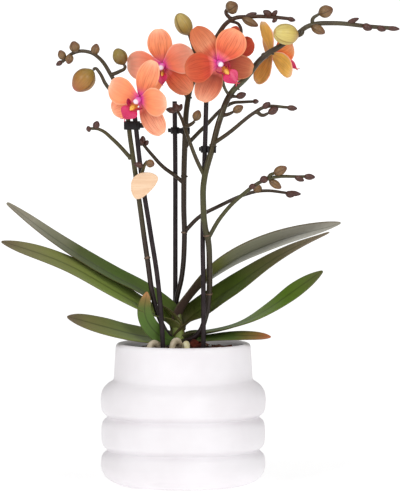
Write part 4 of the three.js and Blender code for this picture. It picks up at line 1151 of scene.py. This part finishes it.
def make_tag(plastic):
    """A rounded wooden plate with cut edges, and the foot that holds it to its cane."""
    curve = curve_through([(x, z, 0) for x, z in TAG_OUTLINE], "AUTO")
    curve.data.splines[0].use_cyclic_u = True
    curve.data.dimensions = "2D"
    curve.data.fill_mode = "BOTH"
    curve.data.resolution_u = 6
    curve.data.extrude = TAG_THICKNESS / 2 - TAG_ROUNDING
    curve.data.bevel_depth = TAG_ROUNDING
    curve.data.bevel_resolution = 2
    curve.data.offset = -TAG_ROUNDING
    plate = meshed(curve)
    close_up(plate)
    stand = Matrix.Rotation(math.pi / 2, 4, "X")
    put(plate, Matrix.Translation((TAG_AT[0], TAG_FRONT + TAG_THICKNESS / 2, TAG_AT[1])) @ stand)
    dress(plate, birch_plywood("bare_birch_ply", "#e6bd98", "#f2d2b2"),
          birch_plywood("cut_birch_edge", "#a06c40", "#c08c5a"))
    for face in plate.data.polygons:
        face.material_index = 0 if abs(face.normal.y) > 0.8 else 1
    settle(plate, "wooden_tag", "bare_wood", "tag", angle=30)

    hold = at_height(CANES["left"], TAG_AT[1] - 3.5)[0]
    back = TAG_FRONT + TAG_THICKNESS
    length = hold.y - CLIP_RADIUS - back + CLIP_OVERLAP
    middle = Vector((hold.x + 0.8, back + length / 2 + 0.1, hold.z))
    parts = [ring_band(hold, CLIP_BORE, TAG_FOOT_TALL, plastic),
             rounded_block(middle, (TAG_FOOT_WIDTH, length, TAG_FOOT_TALL), 0, plastic)]
    settle(joined(parts), "tag_clip_foot", "black_plastic", "tag_clip", angle=40)


# Flowers. A petal's skin has its colours from claw to tip, its veins, its rim and how strong its
# veins are. A side that has no skin of its own gets the plain petal's. Some skins are darker
# copies of the coral one with painted shade, and one is a brighter copy with painted light.

PETAL_THICKNESS = 0.9
PETAL_WAVE = 0.45
SEPAL_FORM = {"claw": 0.3, "widest": 0.55, "depth": -1.5, "cupping": 0.05}
PETAL_FORM = {"claw": 0.2, "widest": 0.58, "depth": 0.5, "cupping": 0.14}
LIP_THICKNESS = 1.0
GLOW = [(0, "#d836a8"), (0.06, "#ec4ca6"), (0.13, "#f0688e"), (0.2, "#f07a70")]
CORAL = GLOW + [(0.3, "#f88a60"), (0.5, "#fd9a6a"), (0.75, "#ffa076"), (1, "#ffb090")]
BLUSHED = GLOW + [(0.27, "#cc604a"), (0.45, "#e48866"), (0.75, "#fcac88"), (1, "#f8a480")]
RUSSET = GLOW + [(0.3, "#dc6446"), (0.5, "#e4926a"), (0.75, "#d07850"), (1, "#c4603a")]
FLUSHED = GLOW + [(0.3, "#a04430"), (0.5, "#b8583c"), (0.75, "#d88060"), (1, "#f0a888")]
# painted shade: a darkened copy of the petal colours, for a sepal turned from the light
DUSKY_PAINTED_SHADE = [(0, "#c8309a"), (0.1, "#c02c60"), (0.25, "#a03434"), (0.45, "#a4482e"),
         (0.8, "#b4603e"), (1, "#c07850")]
OCHRE = [(0, "#c08a50"), (0.4, "#cc883e"), (0.8, "#dc9e4c"), (1, "#eab468")]
PALE = [(0, "#d89a54"), (0.4, "#f2b24c"), (0.8, "#fabe58"), (1, "#ffcc80")]
# painted shade: dark red for the flower that stands in shade behind the others
RED_PAINTED_SHADE = [(0, "#8c2a22"), (0.5, "#b83a22"), (1, "#c84a2c")]
PETAL_SKINS = {
    "petal_front": (CORAL, "#ec7c56", "#ffc8a6", 0.25),
    "petal_back": (OCHRE, "#96602c", "#e0b088", 0.5),
    "sepal_front": (CORAL, "#c8583e", "#ffc49c", 0.5),
    "pale_petal_back": (PALE, "#b07a3c", "#f0c8a0", 0.4),
    "streaked_sepal_front": (BLUSHED, "#b8503c", "#ffc4a0", 0.6),
    # partly painted light: a pinker copy of the coral petal, whose extra brightness is painted
    # light
    "light_painted_rosy_petal_front": (
        GLOW + [(0.3, "#ff8664"), (0.6, "#ffa084"), (1, "#ffb49a")], "#f07c60", "#ffc8b0", 0.25),
    # painted shade: a deeper, redder copy of the coral petal, for a sepal and a petal turned from
    # the light
    "shade_painted_warm_petal_front": (
        GLOW + [(0.3, "#e05c42"), (0.5, "#ec7850"), (1, "#fca07a")], "#b03a28", "#f4a878"),
    # painted shade: the coral petal darkened to a deep orange-red, for a petal that faces away from
    # the light
    "shade_painted_deep_petal_front": (
        GLOW + [(0.3, "#cc4630"), (0.5, "#ca4e2c"), (1, "#c85a3a")], "#9c2e1e", "#cc6e48"),
    "russet_sepal_front": (RUSSET, "#b04830", "#cc7448"),
    "flushed_sepal_front": (FLUSHED, "#a04030", "#ecac88"),
    # painted shade: a darkened copy, for a sepal turned from the light
    "shade_painted_dusky_sepal_front": (DUSKY_PAINTED_SHADE, "#963024", "#d89468"),
    # painted shade: both faces of the flower in shade behind the others are darkened to red
    "shade_painted_red_petal_front": (RED_PAINTED_SHADE, "#8a2018", "#cc5a38"),
    "shade_painted_red_petal_back": (RED_PAINTED_SHADE, "#8a2018", "#cc5a38"),
    "bright_petal_front": (CORAL, "#dd6a48", "#f8b690"),
    "bright_petal_back": (
        [(0, "#d85c34"), (0.5, "#ff9c58"), (1, "#ffae78")], "#d0602c", "#f4a880"),
}
LIP_SKINS = {
    "lip": ([(0, "#e0a030"), (0.28, "#dc5a48"), (0.42, "#dc2c68"), (1, "#c01a54")], "#a01040"),
    "side_lobe": ([(0, "#e8b040"), (0.3, "#b81c48"), (1, "#a01040")], "#7a0c30"),
    "callus": ([(0, "#d87830"), (0.5, "#e8a038"), (1, "#f4c860")], "#a8281c"),
    "column": ([(0, "#d048b0"), (1, "#ec90d4")], "#d860b8"),
    "anther_cap": ([(0, "#f4d0ea"), (1, "#fff4fa")], "#f0c0e0"),
}
LIP_RIB = [(0, -4.4, 2), (0, -8.4, 5), (0, -13, 8.4), (0, -16.8, 11.4), (0, -19.4, 13.4)]
LIP_HALVES = [1.6, 2, 2.9, 5, 6.8, 7, 5.8, 3.4, 1]
SIDE_LOBE_HALVES = [1.6, 2.6, 3.3, 3.6, 3.4, 2.6, 1]
WHISKER_RADII = [0.5, 0.4, 0.3]
HUB = [[0, 0, -HUB_BACK], [0, 0, -1], [0, 0, 1.2]]
HUB_RADII = [1.5, 2.3, 1.9]
COLUMN = [[0, 0, 1.2], [0, 0.2, 4.5], [0, -0.5, 7.6]]
COLUMN_RADII = [2.1, 2.4, 2.5, 2.3]


def tepal(row, skins, chance, claw, widest, depth, cupping):
    """One sepal or petal in the flower's own axes, as wide and bent as its row says. Its claw's
    share of its width, where it is widest, how far forward it grows and how its edges rise come
    from its form."""
    angle, length, width, lean, bend = row[:5]
    turn, start, curl = (math.radians(value) for value in (angle, lean, bend))
    out = Vector((math.sin(turn), math.cos(turn), 0))
    rib = []
    for i in range(6):
        u = i / 5
        reach = length / curl * (math.sin(start) - math.sin(start - curl * u))
        rise = length / curl * (math.cos(start - curl * u) - math.cos(start))
        rib.append(out * (1 + reach) + UP * (depth + rise))
    halves = []
    for i in range(11):
        u = i / 10
        rising = claw + (1 - claw) * math.sin(math.pi / 2 * min(u / widest, 1)) ** 1.3
        ending = math.sqrt(1 - 0.9 * (max(u - widest, 0) / (1 - widest)) ** 2)
        halves.append(width / 2 * rising * ending)
    rises = [cupping * half for half in halves]
    kind = row[5] if len(row) > 5 else "petal"
    faces = [skins.get(f"{kind}_{side}", skins[f"petal_{side}"]) for side in ("front", "back")]
    return strap(rib, UP, halves, rises, faces, PETAL_THICKNESS, wave=PETAL_WAVE, chance=chance)


def make_lip(skins, turn, size):
    """The three-lobed lip, its callus and its two small whiskers. turn swings it to one side and
    size draws it out sideways, up and forwards."""
    rises = [0.2 * half for half in LIP_HALVES]
    parts = [strap(LIP_RIB, Vector((0, 1, 0.3)), LIP_HALVES, rises, [skins["lip"]], LIP_THICKNESS)]
    for side in (-1, 1):
        rib = []
        for u in (0, 0.33, 0.67, 1):
            lean = 1.2 + 5 * math.sin(math.pi / 2 * u)
            rib.append((side * lean, -7.8 + 5.5 * u * u, 4.8 + 2.8 * u))
        rises = [0.15 * half for half in SIDE_LOBE_HALVES]
        parts.append(strap(rib, Vector((-side, 1, 0)), SIDE_LOBE_HALVES, rises,
                           [skins["side_lobe"]], LIP_THICKNESS * 0.8))
    parts.append(egg((0, -6, 3.5), (0, -10.4, 9.6), 4.2, skins["callus"], trefoil=0.1))
    for side in (-1, 1):
        curl = [(side * 0.4, -19, 13), (side * 1, -20.2, 14.2), (side * 2.2, -20.4, 15.2)]
        parts.append(tube(curl, WHISKER_RADII, skins["lip"], 1, 4))
    lip = joined(parts)
    put(lip, Matrix.Rotation(math.radians(turn), 4, "Z") @ Matrix.Diagonal((*size, 1)))
    return lip


def make_bloom(name, bloom, skins, chance):
    matrix = flower_matrix(bloom)
    parts = [tube(HUB, HUB_RADII, skins["hub"], 4, 3)]
    parts += [tepal(row, skins, chance, **SEPAL_FORM) for row in bloom["sepals"]]
    parts += [tepal(row, skins, chance, **PETAL_FORM) for row in bloom["petals"]]
    petals = joined(parts)
    put(petals, matrix)
    settle(petals, f"{name}_flower", "petal", f"{name}_petals")

    lip = make_lip(skins, bloom.get("lip_turn", 0), bloom.get("lip_size", (1, 1, 1)))
    put(lip, matrix)
    settle(lip, f"{name}_lip_lobes", "lip", f"{name}_lip")

    stem = tube(COLUMN, COLUMN_RADII, skins["column"], 4, 6)
    cap = egg((0, 0.3, 5.8), (0, -1, 9.8), 4.6, skins["anther_cap"])
    column = joined([stem, cap])
    put(column, matrix)
    settle(column, f"{name}_column_cap", "column", f"{name}_column")


# Studio. Each lamp has its place, power and size.

LAMPS = [((-2, -3, 2.3), 38, 1.2), ((1.9, -3.1, 2.1), 33, 1.2), ((0, -0.6, 2.6), 7, 1.5)]
LAMPS_AIM = Vector((0, 0, 0.22))
CAMERA_PLACE = (0.0138, -4.9884, 0.5365)
CAMERA_TILT = 86.1
CAMERA_LENS = 446.2


def make_floor():
    """White paper under the plant, a little brighter further away, as under a lit sweep."""
    material, tree, coords = new_material("white_paper_sweep")
    away = add(tree, "VectorMath", {"Vector": coords["Object"]}, out="Value", operation="LENGTH")
    lit = add(tree, "MapRange", {
        "Value": away, "From Min": 0.3, "From Max": 4, "To Min": 0.48, "To Max": 0.8})
    finished(material, tree, {
        "Base Color": "#e6e6e6", "Roughness": 0.9, "Specular IOR Level": 0.1,
        "Emission Color": "#ffffff", "Emission Strength": lit})
    floor = begun(bpy.ops.mesh.primitive_plane_add, size=60)
    floor.name = "floor"
    dress(floor, material)


def placed(name, data, place):
    """A new lamp or camera."""
    thing = bpy.data.objects.new(name, data)
    bpy.context.collection.objects.link(thing)
    thing.location = place
    return thing


def make_studio():
    make_floor()
    world = bpy.data.worlds.new("studio")
    bpy.context.scene.world = world
    world.use_nodes = True
    world.node_tree.nodes["Background"].inputs["Color"].default_value = (1, 1, 1, 1)
    world.node_tree.nodes["Background"].inputs["Strength"].default_value = 0.5
    for i, (place, power, size) in enumerate(LAMPS):
        lamp = placed(f"softbox_{i}", bpy.data.lights.new(f"softbox_{i}", "AREA"), place)
        lamp.data.energy = power
        lamp.data.size = size
        lamp.rotation_euler = (LAMPS_AIM - Vector(place)).to_track_quat("-Z", "Y").to_euler()
    view = placed("camera", bpy.data.cameras.new("camera"), CAMERA_PLACE)
    view.rotation_euler = (math.radians(CAMERA_TILT), 0, 0)
    view.data.lens = CAMERA_LENS
    view.data.sensor_width = 36
    view.data.clip_end = 100
    bpy.context.scene.camera = view
    bpy.context.scene.view_settings.view_transform = "Standard"


def main():
    make_studio()
    make_pot()
    make_grower_pot()
    make_bark()
    make_roots()
    make_crown()
    for name, leaf in LEAVES.items():
        make_leaf(name, leaf)
    tan = bud_skin("tan_bud_skin", [(0, "#54402a"), (0.5, "#80603a"), (1, "#6a3c28")], "#42301e")
    purple = bud_skin(
        "purple_bud_skin", [(0, "#46301c"), (0.45, "#543024"), (1, "#3e1a18")], "#2a1616")
    dry = stem_skin("dry_bract_skin", [(0, "#6e5648"), (1, "#826a56")], *SPIKE_SPAN)
    for name, spike in SPIKES.items():
        make_spike(name, spike, tan, purple, dry)
    for name, shape in LARGE_BUDS.items():
        make_large_bud(name, shape)
    plastic = moulded_black_plastic("moulded_clip_plastic", "#0c080a", "#1c1518")
    make_canes(moulded_black_plastic("moulded_cane_plastic", "#1a1012", "#32262a"))
    for name, clip in CLIPS.items():
        make_clip(name, clip, plastic)
    make_tag(plastic)
    skins = {name: petal_skin(name, *looks) for name, looks in PETAL_SKINS.items()}
    skins.update({name: lip_skin(f"{name}_skin", *looks) for name, looks in LIP_SKINS.items()})
    skins["hub"] = stem_skin("flower_hub_skin", [(0, "#a0703c"), (1, "#b98a4a")], 300, 380)
    chance = random.Random(4)
    for name, bloom in BLOOMS.items():
        make_bloom(name, bloom, skins, chance)


main()
